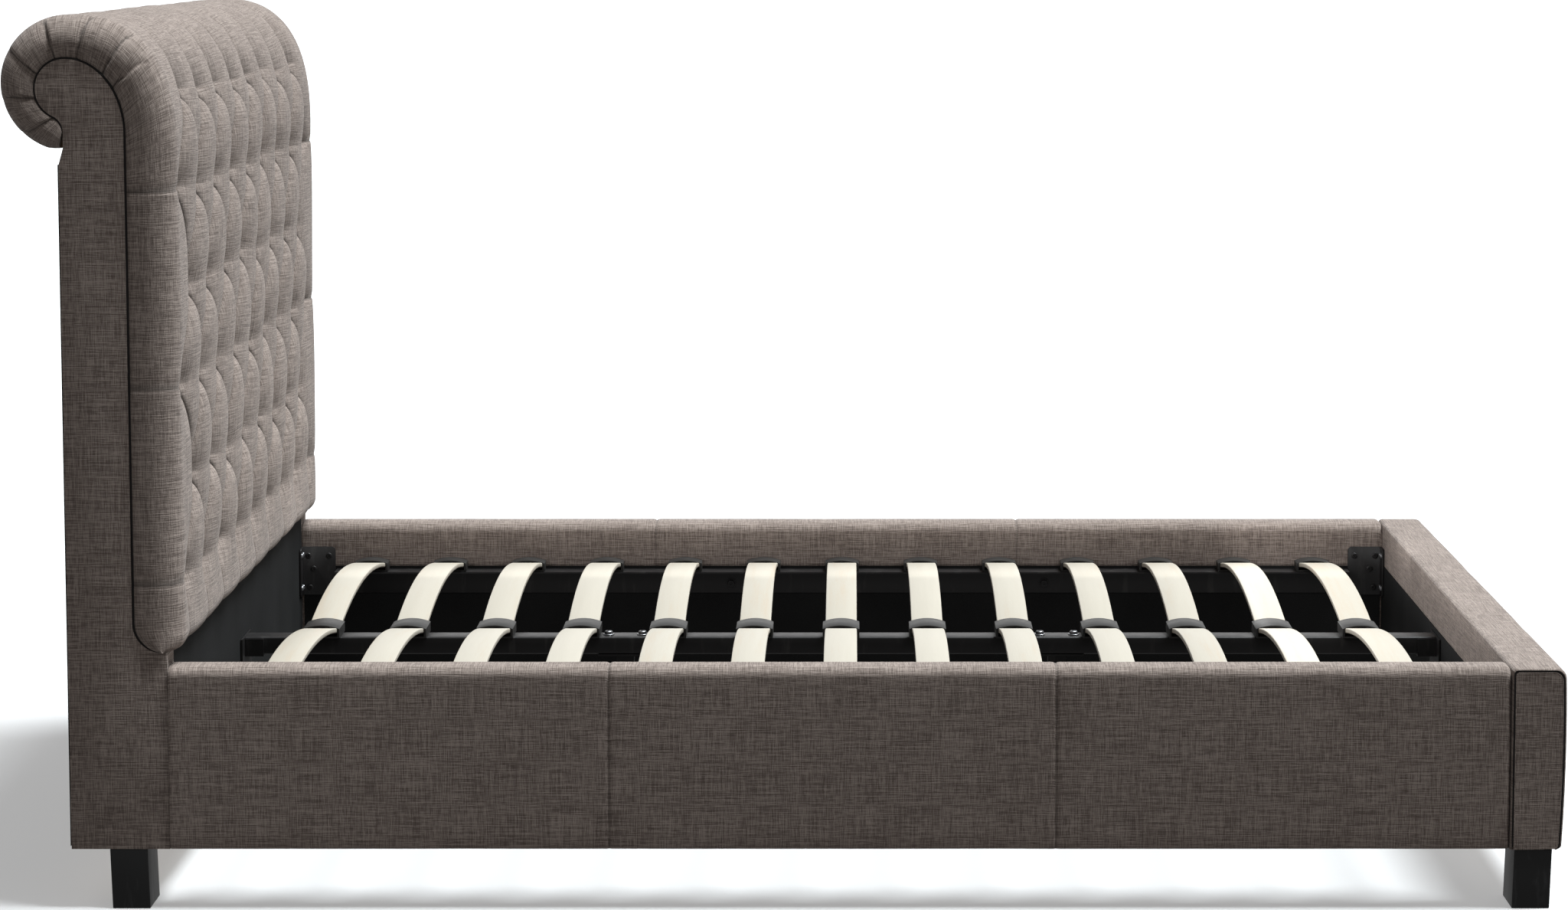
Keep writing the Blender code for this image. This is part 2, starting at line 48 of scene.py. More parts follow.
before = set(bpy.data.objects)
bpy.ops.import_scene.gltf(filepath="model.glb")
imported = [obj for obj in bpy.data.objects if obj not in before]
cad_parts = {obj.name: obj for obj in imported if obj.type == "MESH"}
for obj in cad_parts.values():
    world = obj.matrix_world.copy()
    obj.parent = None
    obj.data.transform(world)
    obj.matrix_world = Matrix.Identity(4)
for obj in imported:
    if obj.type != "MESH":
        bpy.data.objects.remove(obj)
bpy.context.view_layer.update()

# Clearances, as in the frame
TOUCH = 0.0003
SEAM_GAP = 0.0005

# Places read from the frame
PAD_LOW, PAD_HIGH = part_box("headboard_tufted_pad")
PANEL_LOW, PANEL_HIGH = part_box("headboard_end_panel_right")
BACK_LOW, BACK_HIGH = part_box("headboard_back_cloth")
BASE_LOW, BASE_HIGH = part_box("headboard_base_lining")
RAIL_LOW, RAIL_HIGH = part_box("side_rail_cover_right")
BOARD_LOW, BOARD_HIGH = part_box("side_rail_board_right")
FOOT_LOW, FOOT_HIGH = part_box("footboard_cover")
CORE_LOW, CORE_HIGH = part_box("footboard_core")
LINING_LOW, LINING_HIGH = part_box("footboard_lining")
LEDGER_LOW, LEDGER_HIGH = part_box("side_ledger_right")
TUBE_LOW, TUBE_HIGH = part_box("centre_rail")
SLAT_LOW, SLAT_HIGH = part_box("slat_01_right")

LEG_TOP = RAIL_LOW.z
HALF_WIDTH = PAD_HIGH.y
SCROLL_BACK = PAD_LOW.x
PAD_FRONT = PAD_HIGH.x
PAD_BOTTOM = PAD_LOW.z
HEAD_TOP = PAD_HIGH.z
SEAM_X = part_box("headboard_front_board")[1].x + SEAM_GAP
BACK_X = BACK_HIGH.x
HEAD_FRONT = PANEL_HIGH.x + TOUCH
FOOT_INNER = FOOT_LOW.x
FOOT_OUTER = FOOT_HIGH.x
RAIL_FACE = RAIL_LOW.y
HOLDER_TOP = LEDGER_HIGH.z + 0.0024
SIDES = (("left", -1), ("right", 1))
# Thickness of the black linings on the inner faces
LINING_DEPTH = 0.0012
# Width of the squares that a stretched black cloth is made of
CLOTH_MESH = 0.012
# How far the end panel's edge runs straight down behind the roll before it meets the back
NECK_DROP = 0.024
# Where the three lengths of a rail's cloth are joined, as shares of its length
RAIL_JOINS = (0.3278, 0.6614)
# Reach from the hook and drop from the top of each bolt in a corner bracket
BRACKET_BOLTS = ((0.0125, 0.017), (0.0518, 0.017), (0.0227, 0.042), (0.0154, 0.078))


# ---------------------------------------------------------------- what a maker would change


def metres(name, description, default):
    """A size in metres that can be set."""
    return FloatProperty(name=name, description=description, default=default, unit="LENGTH")


def tint(name, description, default):
    """A colour that can be set."""
    return FloatVectorProperty(
        name=name, description=description, default=default, subtype="COLOR", size=3, min=0, max=1,
    )


class BedCloth(bpy.types.PropertyGroup):
    """The linen, and the cord that paints the seam shadows."""

    linen: tint("Linen", "Main colour of the upholstery", (0.179, 0.1415, 0.1215))
    linen_dark: tint("Dark threads", "Colour of the darker slubs", (0.098, 0.074, 0.062))
    linen_light: tint("Light threads", "Colour of the paler slubs", (0.262, 0.215, 0.187))
    # Radius of the near-black cord that paints the shadow in the seams
    shadow_cord_radius: metres("Shadow cord radius", "Of the dark cord in the seams", 0.0026)


class BedScroll(bpy.types.PropertyGroup):
    """The headboard's section."""

    roll_radius: metres("Roll radius", "Of the scroll", 0.099)
    roll_padding: metres("Roll padding", "Between the eye and the roll's outside", 0.053)
    eye_drop: metres("Eye drop", "Eye's centre below the roll's", 0.0075)
    crest_drop: metres("Crest drop", "From the top down to the straight front", 0.234)
    seam_crest_drop: metres("Seam crest drop", "From the eye's top down to the straight seam", 0.1135)
    seam_corner: metres("Seam corner", "Radius of the seam's foot", 0.045)
    pad_corner: metres("Pad corner", "Radius of the pad's lower front edge", 0.024)
    neck_inset: metres("Neck inset", "Neck in front of the back", 0.007)
    neck_fillet: metres("Neck fillet", "Radius between eye and neck", 0.025)
    border_round: metres("Border round", "Radius between the front and the side border", 0.045)


class BedTufting(bpy.types.PropertyGroup):
    """The deep buttoning of the headboard."""

    rows: IntProperty(name="Rows", description="Rows of buttons", default=6, min=2)
    per_long_row: IntProperty(
        name="Buttons in a long row", description="The next row has one less", default=9,
    )
    lowest_row: metres("Lowest row", "Height above the floor", 0.502)
    row_pitch: metres("Row pitch", "Between rows", 0.150)
    column_pitch: metres("Column pitch", "Along a row", 0.183)
    fineness: IntProperty(
        name="Fineness", description="Mesh columns in half a column pitch", default=24, min=8, max=40,
    )
    pleat_depth: metres("Pleat depth", "Of a pleat at its middle", 0.0110)
    button_depth: metres("Button depth", "Below the pad's face", 0.0240)
    tuck_depth: metres("Tuck depth", "Of the hollow above a button", 0.0105)
    proud: metres("Proud", "How far the stuffing swells over the section", 0.0045)
    fullness: metres("Fullness", "How far each pillow stands proud below its upper button", 0.0055)
    button_radius: metres("Button radius", "Of a covered button", 0.0105)


class BedSlat(bpy.types.PropertyGroup):
    """Sprung slats and what holds them."""

    thickness: metres("Slat thickness", "Of the laminated strip", 0.008)
    rise: metres("Bow", "Crown above the ends", 0.033)
    wood: tint("Slat wood", "Colour of the pale wood", (0.352, 0.320, 0.265))
    holder_length: metres("Holder length", "Along the slat", 0.038)
    holder_wall: metres("Holder wall", "Of the moulding", 0.004)
    holder_colour: tint("Holder colour", "Of the moulding", (0.016, 0.015, 0.014))


class BedMetal(bpy.types.PropertyGroup):
    """Steel and legs."""

    steel: metres("Steel", "Thickness of the angles and brackets", 0.003)
    steel_colour: tint("Steel colour", "Of the powder coat", (0.011, 0.010, 0.010))
    bolt_head: metres("Bolt head", "Radius", 0.007)
    leg_colour: tint("Leg colour", "Of the paint", (0.010, 0.010, 0.010))
    leg_lean: metres("Leg lean", "Inwards at the floor", 0.003)


class BedStage(bpy.types.PropertyGroup):
    """Floor, light and camera."""

    floor: tint("Floor", "Colour of the floor", (0.50, 0.50, 0.50))
    key: FloatProperty(name="Key light", description="Strength of the sun", default=7.4)
    fill: FloatProperty(name="Fill light", description="Strength of the surroundings", default=0.28)
    well: FloatProperty(
        name="Well light", description="Power of the light thrown up off the slats", default=6.0,
    )
    bounce: FloatProperty(
        name="Bounce light", description="Power of the light on the inner faces", default=1.6,
    )
    backdrop: FloatProperty(name="Backdrop", description="Strength of the backdrop", default=1.2)
    lens: FloatProperty(name="Lens", description="Focal length in millimetres", default=97.52)
    distance: metres("Distance", "Camera to the near rail", 6.405)
    height: metres("Height", "Of the camera", 1.494)
    tilt: FloatProperty(name="Tilt", description="Downwards", default=math.radians(6), unit="ROTATION")
    aim_x: metres("Camera place", "Along the bed", 0.0948)


# ---------------------------------------------------------------- materials


class Flow:
    """A shader socket that can be used in an expression: each operator adds a Math node."""

    def __init__(self, nodes, socket):
        self.nodes = nodes
        self.socket = socket

    def math(self, operation, *others):
        values = {i + 1: other for i, other in enumerate(others)}
        return self.nodes.add("ShaderNodeMath", {"operation": operation}, {0: self, **values})

    def reflected(self, operation, first):
        return self.nodes.add("ShaderNodeMath", {"operation": operation}, {0: first, 1: self})

    def __add__(self, other):
        return self.math("ADD", other)

    __radd__ = __add__

    def __sub__(self, other):
        return self.math("SUBTRACT", other)

    def __rsub__(self, other):
        return self.reflected("SUBTRACT", other)

    def __mul__(self, other):
        return self.math("MULTIPLY", other)

    __rmul__ = __mul__

    def clamped(self):
        return self.math("MAXIMUM", 0.0).math("MINIMUM", 1.0)


class Nodes:
    """A node tree, and the one way that nodes are added to it."""

    def __init__(self, tree):
        self.tree = tree

    def add(self, kind, settings=None, inputs=None, output=0):
        """A node of that type: its settings first, then the values or links of its sockets."""
        node = self.tree.nodes.new(kind)
        for key, value in (settings or {}).items():
            if key == "stops":
                self.set_stops(node.color_ramp, value)
            else:
                setattr(node, key, value)
        for key, value in (inputs or {}).items():
            self.feed(node.inputs[key], value)
        return Flow(self, node.outputs[output])

    @staticmethod
    def set_stops(ramp, stops):
        while len(ramp.elements) < len(stops):
            ramp.elements.new(0.5)
        for element, (place, colour) in zip(ramp.elements, stops):
            element.position = place
            element.color = (*colour[:3], 1)

    def feed(self, socket, value):
        if isinstance(value, Flow):
            self.tree.links.new(value.socket, socket)
        elif isinstance(value, (tuple, list)) and len(value) == 3 and len(socket.default_value) == 4:
            socket.default_value = (*value, 1)
        else:
            socket.default_value = value


class Finish(Nodes):
    """One material and its Principled shader."""

    def __init__(self, name, **constants):
        self.material = bpy.data.materials.new(name)
        self.material.use_nodes = True
        super().__init__(self.material.node_tree)
        self.shader = self.tree.nodes["Principled BSDF"]
        for socket, value in constants.items():
            self.shader.inputs[socket.replace("_", " ")].default_value = value

    def surface(self, **inputs):
        for socket, value in inputs.items():
            self.feed(self.shader.inputs[socket.replace("_", " ")], value)
        return self.material

    def cloth_map(self, scale, turn=0.0):
        """The piece's own map in metres, stretched."""
        place = self.add("ShaderNodeUVMap", {"uv_map": "cloth"})
        return self.add(
            "ShaderNodeMapping", None, {"Vector": place, "Scale": scale, "Rotation": (0, 0, turn)}
        )

    def solid_map(self, scale):
        place = self.add("ShaderNodeTexCoord", output=3)
        return self.add("ShaderNodeMapping", None, {"Vector": place, "Scale": scale})

    def noise(self, place, scale=1.0, detail=2.0, roughness=0.5):
        return self.add(
            "ShaderNodeTexNoise", None,
            {"Vector": place, "Scale": scale, "Detail": detail, "Roughness": roughness},
        )

    def blend(self, factor, first, second, kind="MIX"):
        return self.add(
            "ShaderNodeMix", {"data_type": "RGBA", "blend_type": kind},
            {0: factor, 6: first, 7: second}, output=2,
        )

    def bump(self, height, strength, distance, normal=None):
        inputs = {"Height": height, "Strength": strength, "Distance": distance}
        if normal:
            inputs["Normal"] = normal
        return self.add("ShaderNodeBump", None, inputs)


def linen_finish(cloth):
    """Slubby plain weave: thick and thin threads both ways, paler and darker, with a soft overall mottle. A
    per-point attribute of the mesh blends it towards near-black: painted shade in the creases, tucks, pleats
    and seams.
    """
    made = Finish("taupe_linen", Roughness=0.92, Sheen_Weight=0.05, Sheen_Roughness=0.5)
    fine_across = made.noise(made.cloth_map((60, 900, 1)), detail=2.0)
    fine_along = made.noise(made.cloth_map((900, 60, 1)), detail=2.0)
    slub_across = made.noise(made.cloth_map((13, 520, 1)), detail=2.0, roughness=0.55)
    slub_along = made.noise(made.cloth_map((520, 15, 1)), detail=2.0, roughness=0.55)
    mottle = made.noise(made.cloth_map((9, 9, 1)), detail=4.0, roughness=0.65)
    threads = (fine_across - 0.5) * 1.5 + (fine_along - 0.5) * 1.5
    slubs = (slub_across - 0.5) * 1.9 + (slub_along - 0.5) * 1.5
    tone = (threads + slubs + (mottle - 0.5) * 0.35 + 0.5).clamped()
    colour = made.add(
        "ShaderNodeValToRGB",
        {"stops": [(0.12, cloth.linen_dark), (0.5, cloth.linen), (0.9, cloth.linen_light)]},
        {0: tone},
    )
    # Painted shade: the mesh's per-point attribute darkens the linen where creases, tucks, pleats and seams
    # would lie in shadow
    fold = made.add("ShaderNodeAttribute", {"attribute_name": "fold"}, output=2)
    shaded = made.blend(fold * 0.75, colour, (0.030, 0.024, 0.020))
    puckers = made.noise(made.cloth_map((22, 14, 1)), detail=3.0)
    relief = made.bump(puckers, 0.35, 0.004)
    relief = made.bump(threads + slubs * 0.8, 0.55, 0.0008, relief)
    return made.surface(Base_Color=shaded, Normal=relief)


def black_cloth_finish():
    """Thin black dust cloth."""
    made = Finish("black_cloth", Roughness=0.95, Specular_IOR_Level=0.08)
    weave = made.noise(made.cloth_map((500, 500, 1)), detail=2.0)
    cloud = made.noise(made.cloth_map((6, 6, 1)), detail=3.0)
    tone = ((weave - 0.5) * 0.8 + (cloud - 0.5) * 0.9 + 0.5).clamped()
    colour = made.add(
        "ShaderNodeValToRGB",
        {"stops": [(0.0, (0.006, 0.006, 0.006)), (1.0, (0.018, 0.018, 0.018))]},
        {0: tone},
    )
    return made.surface(Base_Color=colour, Normal=made.bump(weave + cloud * 2.0, 0.4, 0.0008))


# Painted shadow: a near-black cord laid in the seams stands in for the shadow in the gaps between the panels
def seam_shadow_cord_finish():
    made = Finish("seam_shadow_cord", Roughness=0.95)
    twist = made.noise(made.solid_map((300, 300, 300)))
    colour = made.blend(twist, (0.006, 0.005, 0.005), (0.016, 0.013, 0.012))
    return made.surface(Base_Color=colour, Normal=made.bump(twist, 0.4, 0.0005))


def timber_finish():
    """Sawn softwood inside the upholstery, its grain along Y."""
    made = Finish("pine_timber", Roughness=0.75)
    rings = made.noise(made.solid_map((24, 1.6, 30)), scale=1.0, detail=4.0, roughness=0.6)
    fibres = made.noise(made.solid_map((320, 8, 320)), detail=2.0)
    tone = ((rings - 0.5) * 1.6 + (fibres - 0.5) * 0.4 + 0.5).clamped()
    colour = made.add(
        "ShaderNodeValToRGB",
        {"stops": [(0.2, (0.36, 0.22, 0.11)), (0.55, (0.60, 0.43, 0.25)), (0.85, (0.72, 0.56, 0.36))]},
        {0: tone},
    )
    return made.surface(Base_Color=colour, Normal=made.bump(fibres + rings, 0.25, 0.0006))


def slat_finish(slat):
    """Pale birch veneer, its grain along the slat."""
    made = Finish("pale_slat", Roughness=0.45)
    figure = made.noise(made.solid_map((70, 3.2, 12)), detail=4.0, roughness=0.6)
    fibres = made.noise(made.solid_map((900, 16, 900)), detail=1.0)
    warm = made.noise(made.solid_map((6.7, 0.4, 1)), detail=1.0)
    base = tuple(slat.wood)
    pale = tuple(min(1.0, c * 1.06) for c in base)
    deep = (base[0] * 1.0, base[1] * 0.88, base[2] * 0.78)
    tone = ((figure - 0.5) * 0.9 + (fibres - 0.5) * 0.35 + (warm - 0.5) * 0.45 + 0.55).clamped()
    colour = made.add("ShaderNodeValToRGB", {"stops": [(0.15, deep), (0.5, base), (0.85, pale)]}, {0: tone})
    return made.surface(Base_Color=colour, Normal=made.bump(fibres + figure, 0.12, 0.0004))


def coat_finish(name, colour, wear, roughness, metallic):
    """Black powder coat or paint: fine orange peel and a little rubbed grey."""
    made = Finish(name, Metallic=metallic, Specular_IOR_Level=0.3)
    peel = made.noise(made.solid_map((700, 700, 700)), detail=1.0)
    rub = made.noise(made.solid_map((38, 38, 7)), detail=4.0, roughness=0.7)
    worn = ((rub - 0.55) * 4.0).clamped()
    return made.surface(
        Base_Color=made.blend(worn, tuple(colour), wear),
        Roughness=roughness + (rub - 0.5) * 0.25,
        Normal=made.bump(peel, 0.15, 0.0004),
    )


def zinc_finish():
    made = Finish("zinc_plate", Metallic=1.0)
    brushed = made.noise(made.solid_map((260, 260, 900)), detail=2.0)
    colour = made.blend(brushed, (0.16, 0.16, 0.165), (0.34, 0.34, 0.35))
    return made.surface(Base_Color=colour, Roughness=0.28 + brushed * 0.2)


def make_finishes(scene):
    metal = scene.bed_metal
    return {
        "linen": linen_finish(scene.bed_cloth),
        "black_cloth": black_cloth_finish(),
        "shadow_cord": seam_shadow_cord_finish(),
        "timber": timber_finish(),
        "slat": slat_finish(scene.bed_slat),
        "steel": coat_finish("black_steel", metal.steel_colour, (0.035, 0.033, 0.031), 0.38, 0.0),
        "holder": coat_finish(
            "holder_moulding", scene.bed_slat.holder_colour, (0.035, 0.032, 0.030), 0.46, 0.0
        ),
        "leg": coat_finish("black_leg", metal.leg_colour, (0.045, 0.045, 0.046), 0.36, 0.0),
        "zinc": zinc_finish(),
    }


FINISHES = {}


# ---------------------------------------------------------------- ways of making a piece


def finish_piece(piece, finish, *replaced):
    """Gives a piece its material and its body, and hides the frame nodes that it stands for."""
    piece.data.materials.clear()
    piece.data.materials.append(FINISHES[finish])
    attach(piece, "root")
    if replaced:
        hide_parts(*replaced)
    return piece


def only(piece):
    """Makes this the one selected, active object."""
    bpy.ops.object.select_all(action="DESELECT")
    piece.select_set(True)
    bpy.context.view_layer.objects.active = piece
    return piece


def named(name):
    piece = bpy.context.view_layer.objects.active
    piece.name = name
    piece.data.name = name
    return piece


def settle(piece):
    """Puts a piece's place, turn and size into its mesh."""
    only(piece)
    bpy.ops.object.transform_apply(location=True, rotation=True, scale=True)
    return piece


def block(name, low, high):
    """A block between two corners."""
    bpy.ops.object.select_all(action="DESELECT")
    low, high = Vector(low), Vector(high)
    bpy.ops.mesh.primitive_cube_add(size=1, location=(low + high) / 2)
    piece = named(name)
    piece.scale = high - low
    return settle(piece)


def disc(name, centre, radius, height, axis="Z", sides=32):
    """A round bar standing on its centre point, along an axis."""
    turns = {"Z": (0, 0, 0), "X": (0, math.pi / 2, 0)}
    bpy.ops.object.select_all(action="DESELECT")
    bpy.ops.mesh.primitive_cylinder_add(
        vertices=sides, radius=radius, depth=height, location=(0, 0, height / 2)
    )
    piece = settle(named(name))
    piece.rotation_euler = turns[axis]
    piece.location = centre
    return settle(piece)


def modifier(piece, kind, **settings):
    """Adds a modifier and applies it."""
    only(piece)
    change = piece.modifiers.new(kind.title(), kind)
    for key, value in settings.items():
        setattr(change, key, value)
    bpy.ops.object.modifier_apply(modifier=change.name)
    return piece


def eased(piece, width, segments=2, angle=40):
    """Rounds every sharp edge a little."""
    modifier(
        piece, "BEVEL", width=width, segments=segments, limit_method="ANGLE",
        angle_limit=math.radians(angle), use_clamp_overlap=True,
    )
    only(piece)
    bpy.ops.object.shade_smooth_by_angle(angle=math.radians(angle))
    return piece


def bevel_where(piece, test, width, segments=4):
    """Rounds the edges for which test(middle, direction) is true."""
    only(piece)
    bpy.ops.object.mode_set(mode="EDIT")
    bpy.ops.mesh.select_mode(type="EDGE")
    bpy.ops.mesh.select_all(action="DESELECT")
    form = bmesh.from_edit_mesh(piece.data)
    for edge in form.edges:
        a, b = (vertex.co for vertex in edge.verts)
        edge.select_set(bool(test((a + b) / 2, (b - a).normalized())))
    bmesh.update_edit_mesh(piece.data)
    bpy.ops.mesh.bevel(offset=width, segments=segments, affect="EDGES")
    bpy.ops.object.mode_set(mode="OBJECT")
    return piece


def work_faces(piece, test, *steps):
    """Selects the faces for which test(centre, normal) is true and runs edit-mode steps on them."""
    only(piece)
    bpy.ops.object.mode_set(mode="EDIT")
    bpy.ops.mesh.select_mode(type="FACE")
    bpy.ops.mesh.select_all(action="DESELECT")
    form = bmesh.from_edit_mesh(piece.data)
    for face in form.faces:
        face.select_set(bool(test(face.calc_center_median(), face.normal)))
    bmesh.update_edit_mesh(piece.data)
    for step in steps:
        step()
    bpy.ops.object.mode_set(mode="OBJECT")
    return piece


def cut(piece, *cutters):
    """Cuts away what the cutters cover, and removes them."""
    for cutter in cutters:
        modifier(piece, "BOOLEAN", operation="DIFFERENCE", object=cutter)
        bpy.data.objects.remove(cutter)
    return piece


def joined(name, pieces):
    only(pieces[0])
    for piece in pieces:
        piece.select_set(True)
    bpy.ops.object.join()
    return named(name)


def copied(piece, name, shift):
    """The same piece again, with its own mesh, moved."""
    mesh = piece.data.copy()
    mesh.transform(Matrix.Translation(shift))
    made = bpy.data.objects.new(name, mesh)
    bpy.context.scene.collection.objects.link(made)
    return made


def mirrored(piece, name):
    """The same piece for the other side of the bed."""
    mesh = piece.data.copy()
    mesh.transform(Matrix.Scale(-1, 4, (0, 1, 0)))
    mesh.flip_normals()
    made = bpy.data.objects.new(name, mesh)
    bpy.context.scene.collection.objects.link(made)
    return made


def flat_map(piece, across, along):
    """Gives a piece its cloth map, in metres, from two of its own axes."""
    layer = piece.data.uv_layers.get("cloth") or piece.data.uv_layers.new(name="cloth")
    points = np.empty(len(piece.data.vertices) * 3)
    piece.data.vertices.foreach_get("co", points)
    corners = np.empty(len(piece.data.loops), np.int64)
    piece.data.loops.foreach_get("vertex_index", corners)
    flat = points.reshape(-1, 3)[corners][:, [across, along]]
    layer.data.foreach_set("uv", flat.astype(np.float32).ravel())
    return piece


class Skin:
    """Gathers grids and caps of points into one closed mesh with its cloth map and its painted shade."""

    def __init__(self):
        self.points, self.faces, self.maps, self.painted_shades = [], [], [], []
        self.total = 0

    def grid(self, points, fold=None):
        """Adds rows x columns of points, with their painted shade, and returns their numbers."""
        rows, columns = points.shape[:2]
        numbers = np.arange(rows * columns).reshape(rows, columns) + self.total
        self.points.append(points.reshape(-1, 3))
        self.painted_shades.append(np.zeros(rows * columns) if fold is None else fold.ravel())
        self.total += rows * columns
        return numbers

    def quads(self, numbers, corner_map, rising=None):
        """Faces between neighbouring points. rising says which diagonal splits a face."""
        a, b = numbers[:-1, :-1], numbers[:-1, 1:]
        c, d = numbers[1:, 1:], numbers[1:, :-1]
        ma, mb = corner_map[:-1, :-1], corner_map[:-1, 1:]
        mc, md = corner_map[1:, 1:], corner_map[1:, :-1]
        if rising is None:
            self.faces.append(np.stack([a, b, c, d], -1).reshape(-1, 4))
            self.maps.append(np.stack([ma, mb, mc, md], -2).reshape(-1, 2))
            return
        for mask, first, second in (
            (rising, ((a, ma), (b, mb), (c, mc)), ((a, ma), (c, mc), (d, md))),
            (~rising, ((a, ma), (b, mb), (d, md)), ((b, mb), (c, mc), (d, md))),
        ):
            for corners in (first, second):
                self.faces.append(np.stack([n[mask] for n, _ in corners], -1))
                self.maps.append(np.stack([m[mask] for _, m in corners], -2).reshape(-1, 2))

    def cap(self, numbers, corner_map):
        self.faces.append(np.asarray(numbers).reshape(1, -1))
        self.maps.append(np.asarray(corner_map, float).reshape(-1, 2))

    def build(self, name, angle=60):
        points = np.concatenate(self.points)
        mesh = bpy.data.meshes.new(name)
        mesh.vertices.add(len(points))
        mesh.vertices.foreach_set("co", points.astype(np.float32).ravel())
        corners = np.concatenate([f.ravel() for f in self.faces])
        sizes = np.concatenate([np.full(len(f), f.shape[1]) for f in self.faces])
        mesh.loops.add(len(corners))
        mesh.loops.foreach_set("vertex_index", corners.astype(np.int32))
        mesh.polygons.add(len(sizes))
        starts = np.concatenate([[0], np.cumsum(sizes)[:-1]])
        mesh.polygons.foreach_set("loop_start", starts.astype(np.int32))
        mesh.update(calc_edges=True)
        layer = mesh.uv_layers.new(name="cloth")
        layer.data.foreach_set("uv", np.concatenate(self.maps).astype(np.float32).ravel())
        # Per-point painted shade, which the linen reads to darken its colour in creases and recesses
        fold = mesh.attributes.new("fold", "FLOAT", "POINT")
        fold.data.foreach_set("value", np.concatenate(self.painted_shades).astype(np.float32))
        mesh.validate()
        form = bmesh.new()
        form.from_mesh(mesh)
        if form.calc_volume(signed=True) < 0:
            bmesh.ops.reverse_faces(form, faces=form.faces)
            form.to_mesh(mesh)
        form.free()
        piece = bpy.data.objects.new(name, mesh)
        bpy.context.scene.collection.objects.link(piece)
        only(piece)
        bpy.ops.object.shade_smooth_by_angle(angle=math.radians(angle))
        return piece


def plate(name, outline, low_y, high_y):
    """A plate with the given outline of (x, z) points, between two Y values."""
    curve = bpy.data.curves.new(name, "CURVE")
    curve.dimensions = "2D"
    curve.fill_mode = "BOTH"
    curve.extrude = (high_y - low_y) / 2
    line = curve.splines.new("POLY")
    line.points.add(len(outline) - 1)
    for target, (x, z) in zip(line.points, outline):
        target.co = (x, z, 0, 1)
    line.use_cyclic_u = True
    piece = bpy.data.objects.new(name, curve)
    bpy.context.scene.collection.objects.link(piece)
    only(piece)
    bpy.ops.object.convert(target="MESH")
    piece = named(name)
    middle = (low_y + high_y) / 2
    piece.matrix_world = Matrix(((1, 0, 0, 0), (0, 0, -1, middle), (0, 1, 0, 0), (0, 0, 0, 1)))
    settle(piece)
    return modifier(piece, "WELD", merge_threshold=1e-5)


def swept(name, rings, travel, angle=60):
    """A closed skin through equal closed sections.

    rings is stations x points x 3, and travel is each station's place.
    """
    skin = Skin()
    stations = rings.shape[0]
    middle = rings[stations // 2]
    steps = np.linalg.norm(np.roll(middle, -1, axis=0) - middle, axis=1)
    round_map = np.concatenate([[0], np.cumsum(steps)])
    numbers = skin.grid(rings)
    closed = np.concatenate([numbers, numbers[:, :1]], axis=1)
    corner_map = np.stack(np.broadcast_arrays(travel[:, None], round_map[None, :]), -1)
    skin.quads(closed, corner_map)
    for row, turn in ((0, 1), (stations - 1, -1)):
        ring = rings[row]
        spread = ring.max(0) - ring.min(0)
        axes = sorted(np.argsort(spread)[1:])
        skin.cap(numbers[row][::turn], ring[::turn][:, axes])
    return skin.build(name, angle)


def curve_points(centre, radii, start, end, count, power=2.0):
    """Points on an ellipse, or on a squarer curve where power is over 2, between two angles in degrees."""
    angles = np.radians(np.linspace(start, end, count))
    c, s = np.cos(angles), np.sin(angles)
    x = np.sign(c) * np.abs(c) ** (2 / power) * radii[0]
    z = np.sign(s) * np.abs(s) ** (2 / power) * radii[1]
    return np.stack([centre[0] + x, centre[1] + z], -1)


def walk(points):
    """How far each point of a line lies along it."""
    return np.concatenate([[0], np.cumsum(np.linalg.norm(np.diff(points, axis=0), axis=1))])


def at(points, travelled, places):
    return np.stack([np.interp(places, travelled, points[:, k]) for k in range(points.shape[1])], -1)


def cord(name, points, radius, closed=False):
    """A round cord along a line of points."""
    curve = bpy.data.curves.new(name, "CURVE")
    curve.dimensions = "3D"
    curve.bevel_depth = radius
    curve.bevel_resolution = 2
    curve.use_fill_caps = not closed
    line = curve.splines.new("POLY")
    line.points.add(len(points) - 1)
    for target, point in zip(line.points, points):
        target.co = (*point, 1)
    line.use_cyclic_u = closed
    piece = bpy.data.objects.new(name, curve)
    bpy.context.scene.collection.objects.link(piece)
    only(piece)
    bpy.ops.object.convert(target="MESH")
    piece = named(name)
    modifier(piece, "WELD", merge_threshold=1e-5)
    only(piece)
    bpy.ops.object.shade_smooth()
    return piece


# ---------------------------------------------------------------- headboard


